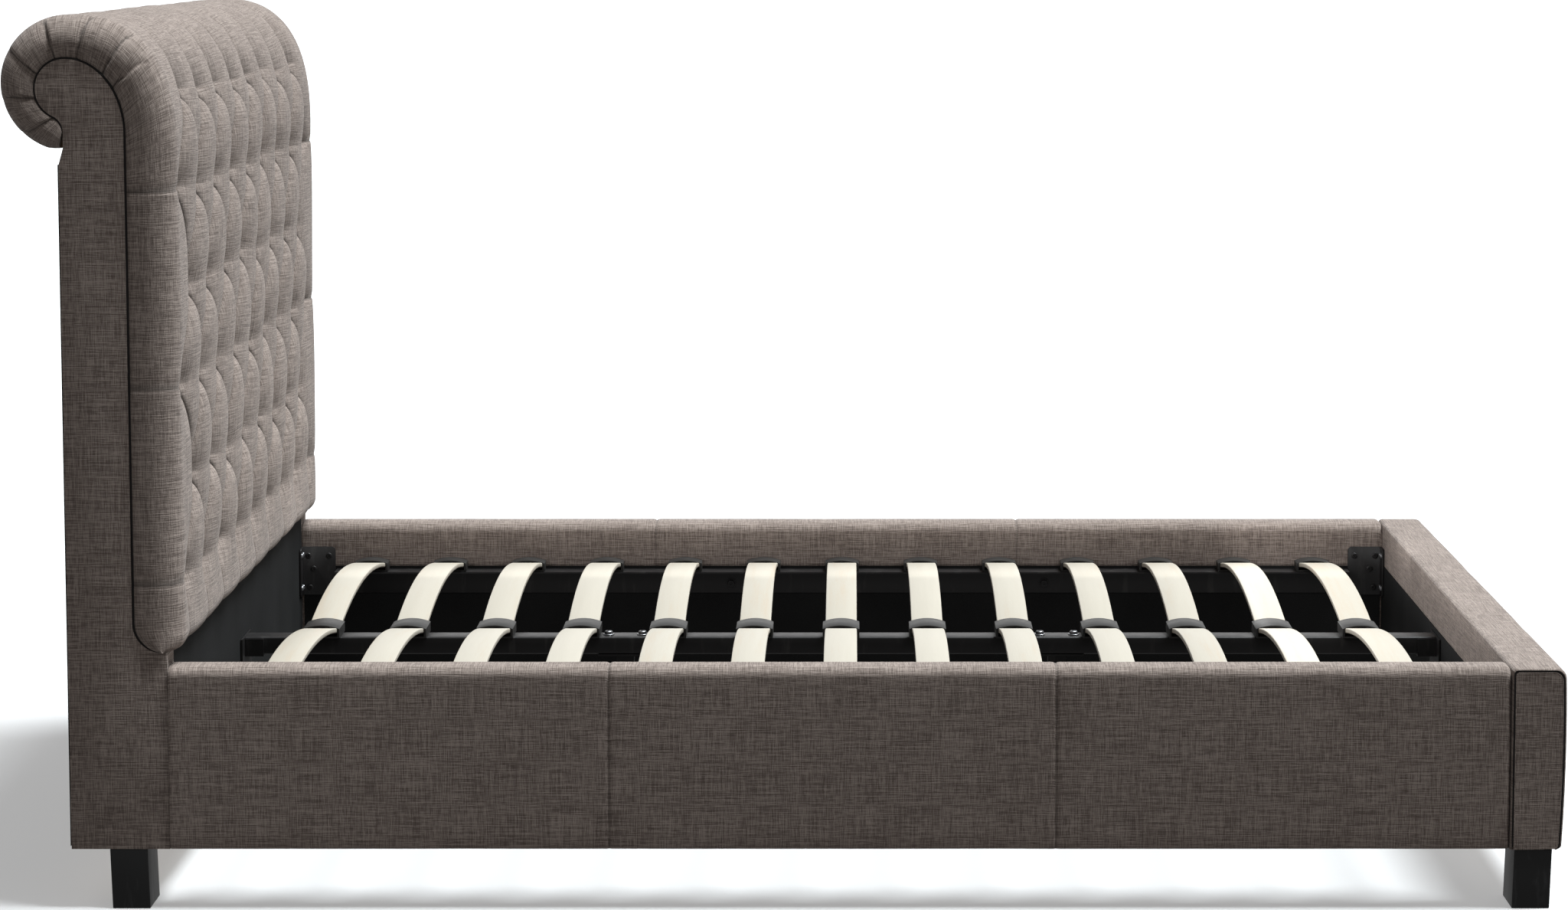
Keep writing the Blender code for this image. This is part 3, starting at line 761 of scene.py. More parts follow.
class Scroll:
    """The headboard pad's section: its outside line and the end panel's seam line, walked together."""

    def __init__(self, sizes):
        radius, back, top = sizes.roll_radius, SCROLL_BACK, HEAD_TOP
        self.roll = (back + radius, top - radius)
        self.eye = (self.roll[0], self.roll[1] - sizes.eye_drop)
        eye_radius = radius - sizes.roll_padding
        under = math.degrees(math.acos((BACK_X - self.roll[0]) / radius))
        corner = sizes.pad_corner
        crest = (self.roll[0], top - sizes.crest_drop)
        self.outside = np.concatenate([
            curve_points((PAD_FRONT - corner, PAD_BOTTOM + corner), (corner, corner), -90, 0, 12),
            [(PAD_FRONT, PAD_BOTTOM + corner + 0.001)],
            curve_points(crest, (PAD_FRONT - crest[0], sizes.crest_drop), 0, 90, 200, 2.6),
            curve_points(self.roll, (radius, radius), 90, 360 - under, 200)[1:],
        ])
        neck = BACK_X + sizes.neck_inset
        fillet_x, reach = neck - sizes.neck_fillet, eye_radius + sizes.neck_fillet
        drop = math.sqrt(reach**2 - (self.roll[0] - fillet_x) ** 2)
        tangent = math.degrees(math.atan2(drop, self.roll[0] - fillet_x))
        seam_crest = self.eye[1] + eye_radius - sizes.seam_crest_drop
        corner = sizes.seam_corner
        self.seam = np.concatenate([
            curve_points((SEAM_X + corner, PAD_BOTTOM + corner), (corner, corner), 270, 180, 12),
            curve_points(
                (self.roll[0], seam_crest), (SEAM_X - self.roll[0], sizes.seam_crest_drop), 0, 90, 100
            ),
            curve_points(self.eye, (eye_radius, eye_radius), 90, 180 + tangent, 100)[1:],
            curve_points((fillet_x, self.eye[1] - drop), (sizes.neck_fillet,) * 2, tangent, 0, 20)[1:],
        ])
        self.out_walk, self.seam_walk = walk(self.outside), walk(self.seam)
        low, high = PAD_BOTTOM + corner, crest[1] - 0.03
        pairs = [
            (0, 0),
            (self.out_at(low), self.seam_at(low)),
            (self.out_at(high), self.seam_at(high)),
            (self.out_walk[np.argmax(self.outside[:, 1])], self.seam_walk[np.argmax(self.seam[:, 1])]),
            (self.out_walk[-1], self.seam_walk[-1]),
        ]
        self.pairs = np.array(pairs)
        self.length = self.out_walk[-1]

    def out_at(self, height):
        """How far along the outside the straight front reaches that height."""
        return float(np.interp(height, self.outside[:212, 1], self.out_walk[:212]))

    def seam_at(self, height):
        return float(np.interp(height, self.seam[:60, 1], self.seam_walk[:60]))

    def lines(self, places):
        """Outside points, seam points and outward directions at those places along the outside."""
        out = at(self.outside, self.out_walk, places)
        seam = at(self.seam, self.seam_walk, np.interp(places, self.pairs[:, 0], self.pairs[:, 1]))
        step = 0.002
        ahead = at(self.outside, self.out_walk, np.minimum(places + step, self.length))
        behind = at(self.outside, self.out_walk, np.maximum(places - step, 0))
        run = ahead - behind
        run /= np.linalg.norm(run, axis=1, keepdims=True)
        return out, seam, np.stack([run[:, 1], -run[:, 0]], -1)


class Tufts:
    """Where the buttons and pleats are, in mesh columns and in distances along the pad's outside."""

    def __init__(self, sizes, scroll):
        self.n = sizes.fineness
        self.step = sizes.column_pitch / 2 / self.n
        self.half = sizes.column_pitch / 2
        self.sizes = sizes
        first = scroll.out_at(sizes.lowest_row)
        self.rows = [first + sizes.row_pitch * i for i in range(sizes.rows)]
        self.outermost = (sizes.per_long_row - 1) * self.n
        self.columns = []
        for i in range(sizes.rows):
            count = sizes.per_long_row - i % 2
            self.columns.append(np.array([self.n * (2 * k - count + 1) for k in range(count)]))

    def falling(self, share):
        """A pleat's sideways travel between two rows: wide at the upper button, then steep."""
        return 1 - (1 - share) * (0.45 + 0.55 * (1 - share))

    def stations(self):
        """(place, interval, steps below the upper row) of each mesh row between the outer buttons."""
        made = []
        table = np.linspace(0, 1, 400)
        for i in range(len(self.rows) - 1):
            for j in range(self.n, 0, -1):
                share = float(np.interp(j / self.n, self.falling(table), table))
                made.append((self.rows[i + 1] - share * (self.rows[i + 1] - self.rows[i]), i, j))
        return made

    def nearest(self, row, columns):
        """Distance of each mesh column from a row's nearest button, in mesh columns."""
        return np.abs((columns - self.columns[row][0] + self.n) % (2 * self.n) - self.n)

    def depths(self, interval, j, travel, columns):
        """Depth below the pad's face between two rows, and the distance past the nearest pleat.

        A pillow starts at its upper button, is fullest a quarter of the way down and then falls away
        slowly, so that its lower tip looks down.
        """
        sizes, n = self.sizes, self.n
        off = self.nearest(interval + 1, columns)
        rise = math.exp(-travel / 0.06) + travel**4
        pleat = (sizes.button_depth - sizes.pleat_depth) * rise + sizes.pleat_depth
        crown = sizes.fullness * math.sin(math.pi * travel)
        swell = sizes.button_depth * math.exp(-((travel / 0.12) ** 1.2)) - crown
        fall = sizes.button_depth * travel**2.6
        below = off < j
        inside = np.where(below, off / max(j, 1), (n - off) / max(n - j, 1)).clip(0, 1)
        ridge = np.where(below, swell, fall)
        shape = (1 - inside**2) ** 0.55
        depth = ridge * shape + pleat * (1 - shape)
        upper = len(self.columns[interval + 1])
        edge = (upper - 1) * n + (j if upper < sizes.per_long_row else -j)
        return self.bordered(depth, pleat, edge, columns), (off - j) * self.step

    def bordered(self, depth, pleat, edge, columns):
        """Past the last pleat the cloth comes up to the border."""
        reach = ((np.abs(columns) - edge) / (0.9 * self.n)).clip(0, 1)
        return np.where(np.abs(columns) > edge, pleat * (1 - (1 - (1 - reach) ** 2) ** 0.55), depth)

    def flutes(self, row, pleat, columns):
        """Depth where single pleats run on from the first or the last row."""
        off = self.nearest(row, columns)
        inside = (1 - off / self.n).clip(0, 1)
        depth = pleat * (1 - (1 - inside**2) ** 0.55)
        edge = (len(self.columns[row]) - 1) * self.n
        return self.bordered(depth, pleat, edge, columns), off * self.step


def side_pleats(scroll, out, places, columns_share):
    """Depth of the pleats that fan round the roll on the side border."""
    angles = np.degrees(np.arctan2(out[:, 1] - scroll.eye[1], out[:, 0] - scroll.eye[0])) % 360
    radius = np.linalg.norm(out - np.array(scroll.eye), axis=1)
    depth = np.zeros((len(places), len(columns_share)))
    above = out[:, 1] > HEAD_TOP - 0.2
    for angle, reach, curl in (
        (29, 0.80, -21), (45, 1.2, -9), (76, 1.3, -9), (105, 1.2, 6),
        (144, 1.15, 3), (184, 1.1, 8), (230, 1.1, -8),
    ):
        off = (angles[:, None] - angle - curl * (1 - columns_share[None, :]) ** 2) % 360
        off = np.where(off > 180, off - 360, off)
        away = np.radians(off) * radius[:, None]
        lip = np.where(away < 0, np.exp(-((away / 0.0030) ** 2)), np.exp(-(away / 0.010)))
        length = ((reach - (1 - columns_share)) / 0.45).clip(0, 1)
        depth = np.maximum(depth, lip * length[None, :] * above[:, None])
    return depth


def tufted_pad_mesh(scroll, tufts, cloth_sizes):
    sizes = tufts.sizes
    n = tufts.n
    edge_round = cloth_sizes.border_round
    # Mesh rows from the pad's foot, up the front, over the crest and round the roll
    foot = list(np.linspace(0, scroll.out_at(PAD_BOTTOM + 0.03), 10))
    low = list(np.linspace(foot[-1], tufts.rows[0], 14))[1:-1]
    middle = tufts.stations()
    high = list(np.linspace(tufts.rows[-1], scroll.length, 205))
    places = np.array(foot + low + [m[0] for m in middle] + high)
    kinds = [None] * (len(foot) + len(low)) + [(m[1], m[2]) for m in middle] + [None] * len(high)
    first_middle, last_middle = len(foot) + len(low), len(foot) + len(low) + len(middle)
    out, seam, normal = scroll.lines(places)
    thick = np.linalg.norm(out - seam, axis=1)
    # Mesh columns from the left seam, round the border, across the front and back
    flat_edge = HALF_WIDTH - edge_round
    spare = np.arange(tufts.outermost * tufts.step + tufts.step, flat_edge, tufts.step)
    arc = np.radians(np.linspace(0, 90, 15))[1:]
    side = np.linspace(0, 1, 12)[1:]
    half_y = np.concatenate([np.arange(tufts.outermost + 1) * tufts.step, spare])
    flat_count = len(half_y)
    count = flat_count + len(arc) + len(side)
    share = np.zeros(count)
    share[flat_count:] = np.concatenate([np.sin(arc) * 0.55, 0.55 + 0.45 * side])
    lean = np.zeros(count)
    lean[flat_count:] = np.concatenate([arc, np.full(len(side), math.pi / 2)])
    rows = len(places)
    rho = np.ones((rows, count))
    y = np.zeros((rows, count))
    y[:, :flat_count] = half_y
    depth = np.minimum(edge_round, 0.6 * thick)[:, None]
    rho[:, flat_count:flat_count + len(arc)] = 1 - depth / thick[:, None] * (1 - np.cos(arc))
    y[:, flat_count:flat_count + len(arc)] = flat_edge + edge_round * np.sin(arc)
    left_over = 1 - depth / thick[:, None]
    rho[:, flat_count + len(arc):] = left_over * (1 - side)
    y[:, flat_count + len(arc):] = HALF_WIDTH - 0.003 * side - 0.010 * side**7
    steps = np.hypot(np.diff(y[rows // 3]), np.diff(rho[rows // 3]) * 0.072)
    travel = np.concatenate([[0], np.cumsum(steps)])
    # Relief of the buttoning, and the painted shade that darkens the linen along the pleats, above and round
    # the buttons, and under the lips
    index = np.arange(flat_count)
    index = np.concatenate([index, np.full(count - flat_count, index[-1])]).astype(float)
    index[flat_count:] += (travel[flat_count:] - travel[flat_count - 1]) / tufts.step
    all_columns = np.concatenate([-index[:0:-1], index])
    all_y = np.concatenate([-y[:, :0:-1], y], axis=1)
    all_rho = np.concatenate([rho[:, :0:-1], rho], axis=1)
    all_lean = np.concatenate([lean[:0:-1], lean])
    all_share = np.concatenate([share[:0:-1], share])
    all_travel = np.concatenate([-travel[:0:-1], travel])
    sign = np.sign(all_columns)
    relief = np.zeros((rows, len(all_columns)))
    # Painted shade: how far each point's linen is darkened
    fold = np.zeros_like(relief)
    top_row, low_row = tufts.rows[-1], tufts.rows[0]
    for r, place in enumerate(places):
        if kinds[r]:
            interval, j = kinds[r]
            travel = (tufts.rows[interval + 1] - place) / sizes.row_pitch
            relief[r], near = tufts.depths(interval, j, travel, all_columns)
            # How dark the painted shade along the pleats is at this mesh row
            dark = 0.95 * (1 - ((travel - 0.45) / 0.3) * (travel > 0.45)) if travel < 0.75 else 0.1
        elif place >= top_row:
            rise = place - top_row
            pleat = (sizes.button_depth - 0.006) * math.exp(-((rise / 0.05) ** 1.1))
            pleat += 0.006 * math.exp(-((rise / 0.24) ** 2))
            relief[r], near = tufts.flutes(-1, pleat, all_columns)
            dark = 0.5 * math.exp(-rise / 0.2)
        else:
            drop = low_row - place
            pleat = (sizes.button_depth - 0.008) * math.exp(-((drop / 0.03) ** 1.2))
            pleat = pleat + 0.008 * math.exp(-drop / 0.12)
            relief[r], near = tufts.flutes(0, pleat, all_columns)
            dark = 0.6
        # Painted shade along the pleats, in a narrow band on each side of the crease
        wide = np.where(near > 0, 0.0085, 0.0030) if kinds[r] else 0.0030
        fold[r] = np.exp(-((near / wide) ** 2)) * dark * (np.abs(all_columns) <= tufts.outermost)
    rng = np.random.default_rng(11)
    drift_y, drift_z = np.zeros_like(relief), np.zeros_like(relief)
    front_y = np.where(np.abs(all_columns) <= tufts.outermost + 30, all_columns * tufts.step, sign * 5.0)
    for row, columns in zip(tufts.rows, tufts.columns):
        away = places[:, None] - row
        for column in columns:
            across = front_y[None, :] - column * tufts.step
            pinch = np.exp(-(np.hypot(across, away) / 0.013) ** 2)
            tuck = np.where(away > 0, np.exp(-away / 0.036), np.exp(away / 0.026))
            tuck = tuck * np.exp(-((across / 0.046) ** 2))
            # Painted shade in the hollow above each button, ending sharply at the row
            fold = np.maximum(fold, 0.55 * tuck * (away > -1e-4))
            relief += (0.004 * pinch + sizes.tuck_depth * tuck) * rng.uniform(0.75, 1.25)
            # Painted shade round each button
            fold = np.maximum(fold, pinch * 0.8)
            bell = np.exp(-(across**2 + away**2) / (2 * 0.055**2))
            drift_y += bell * rng.normal(0, 0.0026)
            drift_z += bell * rng.normal(0, 0.0040)
            relief += bell * rng.normal(0, 0.0016)
        if len(columns) == sizes.per_long_row:
            outer = ((np.abs(all_columns) - tufts.outermost) / 4).clip(0, 1)
            fading = 1 - ((all_share - 0.92) / 0.08).clip(0, 1) * 0.5
            lip = np.where(away > 0, np.exp(-(np.abs(away) / 0.005)), np.exp(-((away / 0.0022) ** 2)))
            relief += 0.0018 * lip * (outer * fading)[None, :]
            # Painted shade in a thin line under the lip of each long row
            fold = np.maximum(fold, np.exp(-((away / 0.0018) ** 2)) * (outer * fading)[None, :] * 0.8)
    fan = side_pleats(scroll, out, places, all_share)
    border = (all_share > 0.02)[None, :]
    relief += 0.0060 * fan * border * np.minimum(1, all_share * 2.2)[None, :]
    # Painted shade along the pleats that fan round the roll
    fold = np.maximum(fold, (fan > 0.82) * border * 0.75)
    # Small random tension in the cloth
    for _ in range(26):
        wave_y, wave_z = rng.uniform(5, 42), rng.uniform(4, 26)
        turn = rng.uniform(0, 2 * math.pi, 2)
        swing = 0.00022 * np.sin(wave_y * all_travel[None, :] + turn[0])
        relief += swing * np.sin(wave_z * places[:, None] + turn[1])
    ends = np.minimum(1, np.minimum((places - places[0]) / 0.02, (places[-1] - places) / 0.02))
    relief *= ends[:, None]
    calm = np.where(all_share > 0.9, (1 - all_share) / 0.1, 1)
    relief = relief * calm[None, :]
    flat = seam[:, None, :] + (out - seam)[:, None, :] * all_rho[:, :, None]
    shift = (sizes.proud * ends[:, None] - relief) * np.cos(all_lean)[None, :]
    flat = flat + normal[:, None, :] * shift[:, :, None]
    run = np.stack([-normal[:, 1], normal[:, 0]], -1)
    quiet = (np.cos(all_lean) * (np.abs(all_columns) <= tufts.outermost + 30))[None, :] * ends[:, None]
    flat = flat + run[:, None, :] * (drift_z * quiet)[:, :, None]
    y_now = all_y - relief * np.sin(all_lean)[None, :] * sign[None, :] + drift_y * quiet
    points = np.stack([flat[:, :, 0], y_now, flat[:, :, 1]], -1)
    # Which way each face is split, so that the pleats run along edges
    rising = np.zeros((rows - 1, len(all_columns) - 1), bool)
    whole = 2 * n
    start = np.rint(all_columns[:-1])
    for r in range(rows - 1):
        if not (first_middle <= r < last_middle):
            continue
        interval, j = kinds[r]
        anchor = tufts.columns[interval + 1][0]
        right_down = (start - anchor - (j - 1)) % whole
        left_down = (anchor - start - j) % whole
        to_right = np.minimum(right_down, whole - right_down)
        to_left = np.minimum(left_down, whole - left_down)
        rising[r] = to_left <= to_right
    skin = Skin()
    across = np.broadcast_to(all_travel, (rows, len(all_travel)))
    along = np.broadcast_to(places[:, None], across.shape)
    numbers = skin.grid(points, fold)
    corner_map = np.stack([across, along], -1)
    skin.quads(numbers, corner_map, rising)
    closing = np.stack([numbers[:, -1], numbers[:, 0]], -1)
    skin.quads(closing, np.stack([corner_map[:, -1], corner_map[:, 0]], 1))
    skin.cap(numbers[0][::-1], corner_map[0][::-1])
    skin.cap(numbers[-1], corner_map[-1])
    return skin.build("tufted_pad", 50)


def covered_button(radius):
    """A domed button, its cloth drawn in under the rim, facing +X."""
    piece = disc("covered_button", (-0.4 * radius, 0, 0), radius, 0.7 * radius, "X", 18)
    work_faces(
        piece, lambda middle, normal: normal.x < -0.9,
        lambda: bpy.ops.transform.resize(value=(1, 0.7, 0.7)),
    )
    bevel_where(
        piece, lambda middle, along: middle.x > 0.29 * radius and abs(along.x) < 0.5, 0.3 * radius, 4,
    )
    return work_faces(
        piece, lambda middle, normal: normal.x > 0.99,
        lambda: bpy.ops.mesh.inset(thickness=0.35 * radius, depth=0.12 * radius),
    )


class BED_OT_headboard_pad(bpy.types.Operator):
    """Model the deep-buttoned pad with its covered buttons"""

    bl_idname = "sleigh_bed.headboard_pad"
    bl_label = "Headboard pad"

    def execute(self, context):
        scroll = Scroll(context.scene.bed_scroll)
        tufts = Tufts(context.scene.bed_tufting, scroll)
        pad = tufted_pad_mesh(scroll, tufts, context.scene.bed_scroll)
        finish_piece(pad, "linen", "headboard_tufted_pad")
        sizes = tufts.sizes
        button = covered_button(sizes.button_radius)
        buttons = []
        for row, columns in zip(tufts.rows, tufts.columns):
            out, _, normal = scroll.lines(np.array([row]))
            tilt = math.atan2(normal[0][1], normal[0][0])
            down = sizes.button_depth + 0.002
            for column in columns:
                made = copied(button, "button", (0, 0, 0))
                made.data.transform(Matrix.Rotation(-tilt, 4, "Y"))
                made.data.transform(Matrix.Translation((
                    out[0][0] - normal[0][0] * down, column * tufts.step, out[0][1] - normal[0][1] * down,
                )))
                buttons.append(made)
        bpy.data.objects.remove(button)
        buttons = joined("covered_buttons", buttons)
        flat_map(buttons, 1, 2)
        only(buttons)
        bpy.ops.object.shade_smooth()
        finish_piece(buttons, "linen")
        return {"FINISHED"}


def panel_outline(scroll, gap):
    """The end panel's outline from the seam line, set back from it by gap."""
    seam = scroll.seam
    run = np.gradient(seam, axis=0)
    run /= np.linalg.norm(run, axis=1, keepdims=True)
    inward = np.stack([-run[:, 1], run[:, 0]], -1)
    edge = seam + inward * gap
    back = BACK_X + SEAM_GAP
    front = HEAD_FRONT - TOUCH
    tail = [
        (edge[-1][0], edge[-1][1] - NECK_DROP),
        (back, BACK_HIGH.z),
        (back, LEG_TOP),
        (front, LEG_TOP),
        (front, PAD_BOTTOM - SEAM_GAP),
    ]
    return np.concatenate([edge, tail])


class BED_OT_headboard_ends(bpy.types.Operator):
    """Model the flat end panels, and a near-black cord in their seams that paints the shadow in the seam
    gaps
    """

    bl_idname = "sleigh_bed.headboard_ends"
    bl_label = "Headboard ends"

    def execute(self, context):
        scroll = Scroll(context.scene.bed_scroll)
        radius = context.scene.bed_cloth.shadow_cord_radius
        outline = panel_outline(scroll, 0.0008)
        piece = plate("end_panel_right", outline, PANEL_LOW.y, PANEL_HIGH.y)
        modifier(piece, "BEVEL", width=0.0045, segments=4, limit_method="ANGLE",
                 angle_limit=math.radians(60), use_clamp_overlap=True)
        only(piece)
        bpy.ops.object.shade_smooth_by_angle(angle=math.radians(50))
        wrap = block(
            "wrap",
            (BASE_LOW.x, BASE_HIGH.y + 0.0004, PANEL_LOW.z),
            (BASE_HIGH.x, PANEL_LOW.y - TOUCH, BASE_HIGH.z),
        )
        piece = joined("end_panel_right", [piece, wrap])
        flat_map(piece, 0, 2)
        right = finish_piece(piece, "linen", "headboard_end_panel_right")
        left = finish_piece(mirrored(right, "end_panel_left"), "linen", "headboard_end_panel_left")
        # Painted shadow: a near-black cord along each seam stands in for the shadow in the gap between the
        # end panel and the pad
        seam = scroll.seam[::3]
        for side, sign in SIDES:
            y = sign * (HALF_WIDTH - 0.0095)
            made = cord(f"seam_shadow_cord_{side}", [(x, y, z) for x, z in seam], radius)
            finish_piece(made, "shadow_cord")
        return {"FINISHED"}


def rim(grid):
    """The outermost points of a grid, in order."""
    return np.concatenate([grid[0, :-1], grid[:-1, -1], grid[-1, :0:-1], grid[:0:-1, 0]])


def stretched_cloth(name, low, high, axis, sag, hem, puckers, *replaced):
    """A thin black cloth stapled round its edge, on the face of the box that looks along axis (0 X, 1 Y).

    The sign of sag says which of the two faces it is.
    """
    other = 1 - axis
    facing = 1 if sag >= 0 else -1
    front = high[axis] if facing > 0 else low[axis]
    back = low[axis] if facing > 0 else high[axis]
    fewest = 8
    across = np.linspace(
        low[other], high[other], max(len(np.arange(low[other], high[other] + 1e-6, CLOTH_MESH)), fewest)
    )
    up = np.linspace(low[2], high[2], max(fewest, int((high[2] - low[2]) / CLOTH_MESH)))
    u, v = np.meshgrid(across, up)
    from_side = np.minimum(u - across[0], across[-1] - u)
    from_end = np.minimum(v - up[0], up[-1] - v)
    near = np.minimum(from_side, from_end)
    belly = np.sin(math.pi * (u - across[0]) / (across[-1] - across[0]))
    belly = belly * np.sin(math.pi * (v - up[0]) / (up[-1] - up[0]))
    # The staples pull little waves into the edges
    wave = np.sin(2 * math.pi * u / 0.083) * np.exp(-from_end / 0.05)
    wave = wave + np.sin(2 * math.pi * v / 0.077) * np.exp(-from_side / 0.05)
    room = abs(front - back)
    hem_rise = np.where(near < hem, room * 0.3, 0)
    ripple = puckers * wave * np.where(near > 0.004, 1, 0)
    out = facing * (room * 0.55 + hem_rise + abs(sag) * belly + ripple)
    skin = Skin()
    grids = []
    for depth in (back + out, np.full_like(u, back)):
        place = [None, None, v]
        place[axis] = depth
        place[other] = u
        grids.append(skin.grid(np.stack(place, -1)))
    top, base = grids
    corner_map = np.stack([u, v], -1)
    skin.quads(top, corner_map)
    skin.quads(base[:, ::-1], corner_map[:, ::-1])
    ring = np.stack([rim(base), rim(top)])
    rim_map = rim(corner_map)
    ring = np.concatenate([ring, ring[:, :1]], axis=1)
    rim_map = np.concatenate([rim_map, rim_map[:1]])
    skin.quads(ring, np.stack([rim_map, rim_map]))
    piece = finish_piece(skin.build(name, 40), "black_cloth", *replaced)
    high[other] - low[other]
    high[2] - low[2]
    return piece


class BED_OT_black_cloths(bpy.types.Operator):
    """Stretch the black cloths over the back and the inner faces"""

    bl_idname = "sleigh_bed.black_cloths"
    bl_label = "Black cloths"

    def execute(self, context):
        level = 1e-5
        calm = 0.00006
        stretched_cloth(
            "back_dust_cloth", BACK_LOW, BACK_HIGH, 0, -0.003, 0.022, 0.0009, "headboard_back_cloth",
        )
        stretched_cloth("base_lining", BASE_LOW, BASE_HIGH, 0, level, 0.015, calm, "headboard_base_lining")
        stretched_cloth(
            "footboard_lining_cloth", LINING_LOW, LINING_HIGH, 0, -level, 0.012, calm, "footboard_lining",
        )
        for side, sign in SIDES:
            near, far = sorted((sign * (RAIL_FACE + TOUCH), sign * (RAIL_FACE + TOUCH + LINING_DEPTH)))
            low = (RAIL_LOW.x + 0.003, near, LEG_TOP + 0.005)
            high = (RAIL_HIGH.x - 0.003, far, LINING_HIGH.z - 0.004)
            stretched_cloth(f"rail_lining_{side}", low, high, 1, -sign * level, 0.012, calm)
        return {"FINISHED"}


# ---------------------------------------------------------------- rails and footboard


def rail_section(shrink, pinch, sign):
    """The rail cover's section as (y, z): rounded top, slightly full outer face, step for the lining."""
    inner, outer = RAIL_FACE + min(shrink, 0.001), HALF_WIDTH - shrink - pinch
    top, bottom = RAIL_HIGH.z - shrink - pinch, LEG_TOP
    round_out, round_in = 0.017, 0.020
    step = LINING_HIGH.z - 0.002
    face = np.linspace(bottom + 0.006, top - round_out, 12)
    full = 0.0016 * np.sin(math.pi * (face - bottom) / (top - bottom)) - 0.0016
    points = np.concatenate([
        [(inner + LINING_DEPTH + 3 * TOUCH, bottom)],
        curve_points((outer - 0.0075, bottom + 0.006), (0.006, 0.006), 270, 360, 5)[:-1],
        np.stack([outer + full, face], -1),
        curve_points((outer + full[-1] - round_out, top - round_out), (round_out, round_out), 0, 90, 9)[1:],
        curve_points((inner + round_in, top - round_in), (round_in, round_in), 90, 180, 8),
        [(inner, step + 0.030), (inner, step + 0.001), (inner + LINING_DEPTH + 3 * TOUCH, step)],
    ])
    points[:, 0] *= sign
    return points


class BED_OT_side_rails(bpy.types.Operator):
    """Model the padded side rails with their sewn joins"""

    bl_idname = "sleigh_bed.side_rails"
    bl_label = "Side rails"

    def execute(self, context):
        length = RAIL_HIGH.x - RAIL_LOW.x
        seams = [RAIL_LOW.x + share * length for share in RAIL_JOINS]
        stations = [RAIL_LOW.x + d for d in (0, 0.001, 0.003)]
        stations += list(np.arange(RAIL_LOW.x + 0.010, RAIL_HIGH.x - 0.012, 0.020))
        for seam in seams:
            stations += [
                seam + d for d in (-0.012, -0.007, -0.0035, -0.0015, 0, 0.0015, 0.0035, 0.007, 0.012)
            ]
        stations += [RAIL_HIGH.x - d for d in (0.010, 0.0085, 0.0065, 0.004, 0.002, 0.0007, 0)]
        stations = np.array(sorted(stations))
        for side, sign in SIDES:
            rings = []
            painted_shades = []
            for x in stations:
                from_foot = RAIL_HIGH.x - x
                shrink = 0.009 * (1 - math.sqrt(max(0, 1 - (1 - min(from_foot, 0.009) / 0.009) ** 2)))
                from_head = x - RAIL_LOW.x
                shrink += 0.0015 * math.exp(-from_head / 0.0015)
                away = min(abs(x - seam) for seam in seams)
                pinch = 0.0020 * math.exp(-((away / 0.0025) ** 2))
                section = rail_section(min(shrink, 0.009), pinch, sign)
                loft = 0.0006 * math.sin(x * 9 + sign) + 0.0005 * math.sin(x * 23 + 1)
                section[1:-3, 0] -= sign * max(0, loft)
                rings.append(np.column_stack([np.full(len(section), x), section]))
                # Painted shade in the pinched crease of each sewn join
                painted_shades.append(0.6 * math.exp(-((away / 0.0016) ** 2)))
            rings = np.array(rings)
            piece = swept(f"rail_cover_{side}", rings, stations, 55)
            # The painted shade goes into the mesh's per-point attribute, which darkens the linen
            attribute = piece.data.attributes["fold"]
            values = np.repeat(painted_shades, rings.shape[1]).astype(np.float32)
            attribute.data.foreach_set("value", values)
            low_y, high_y = sorted((sign * BOARD_LOW.y - sign * TOUCH, sign * BOARD_HIGH.y + sign * TOUCH))
            channel = block(
                "channel", (BOARD_LOW.x - 0.1, low_y, BOARD_LOW.z - TOUCH),
                (BOARD_HIGH.x + 0.1, high_y, BOARD_HIGH.z + TOUCH),
            )
            cut(piece, channel)
            only(piece)
            bpy.ops.object.shade_smooth_by_angle(angle=math.radians(55))
            finish_piece(piece, "linen", f"side_rail_cover_{side}")
        return {"FINISHED"}


def foot_section(shrink):
    """The footboard's section as (x, z): upright inside, a full outer face and a rounded top."""
    inner, outer = FOOT_INNER + shrink, FOOT_OUTER - shrink
    top, bottom = FOOT_HIGH.z - shrink, LEG_TOP
    round_in, round_out = 0.007, 0.015
    face = np.linspace(bottom + 0.008, top - round_out, 14)
    full = -0.0055 * ((face - (bottom + 0.66 * (top - bottom))) / (top - bottom) / 0.66).clip(-1, 1) ** 2
    return np.concatenate([
        [(inner, bottom)],
        curve_points((outer + full[0] - 0.007, bottom + 0.008), (0.007, 0.007), 270, 360, 5)[:-1],
        np.stack([outer + full, face], -1),
        curve_points((outer + full[-1] - round_out, top - round_out), (round_out, round_out), 0, 90, 9)[1:],
        curve_points((inner + round_in, top - round_in), (round_in, round_in), 90, 180, 7),
    ])


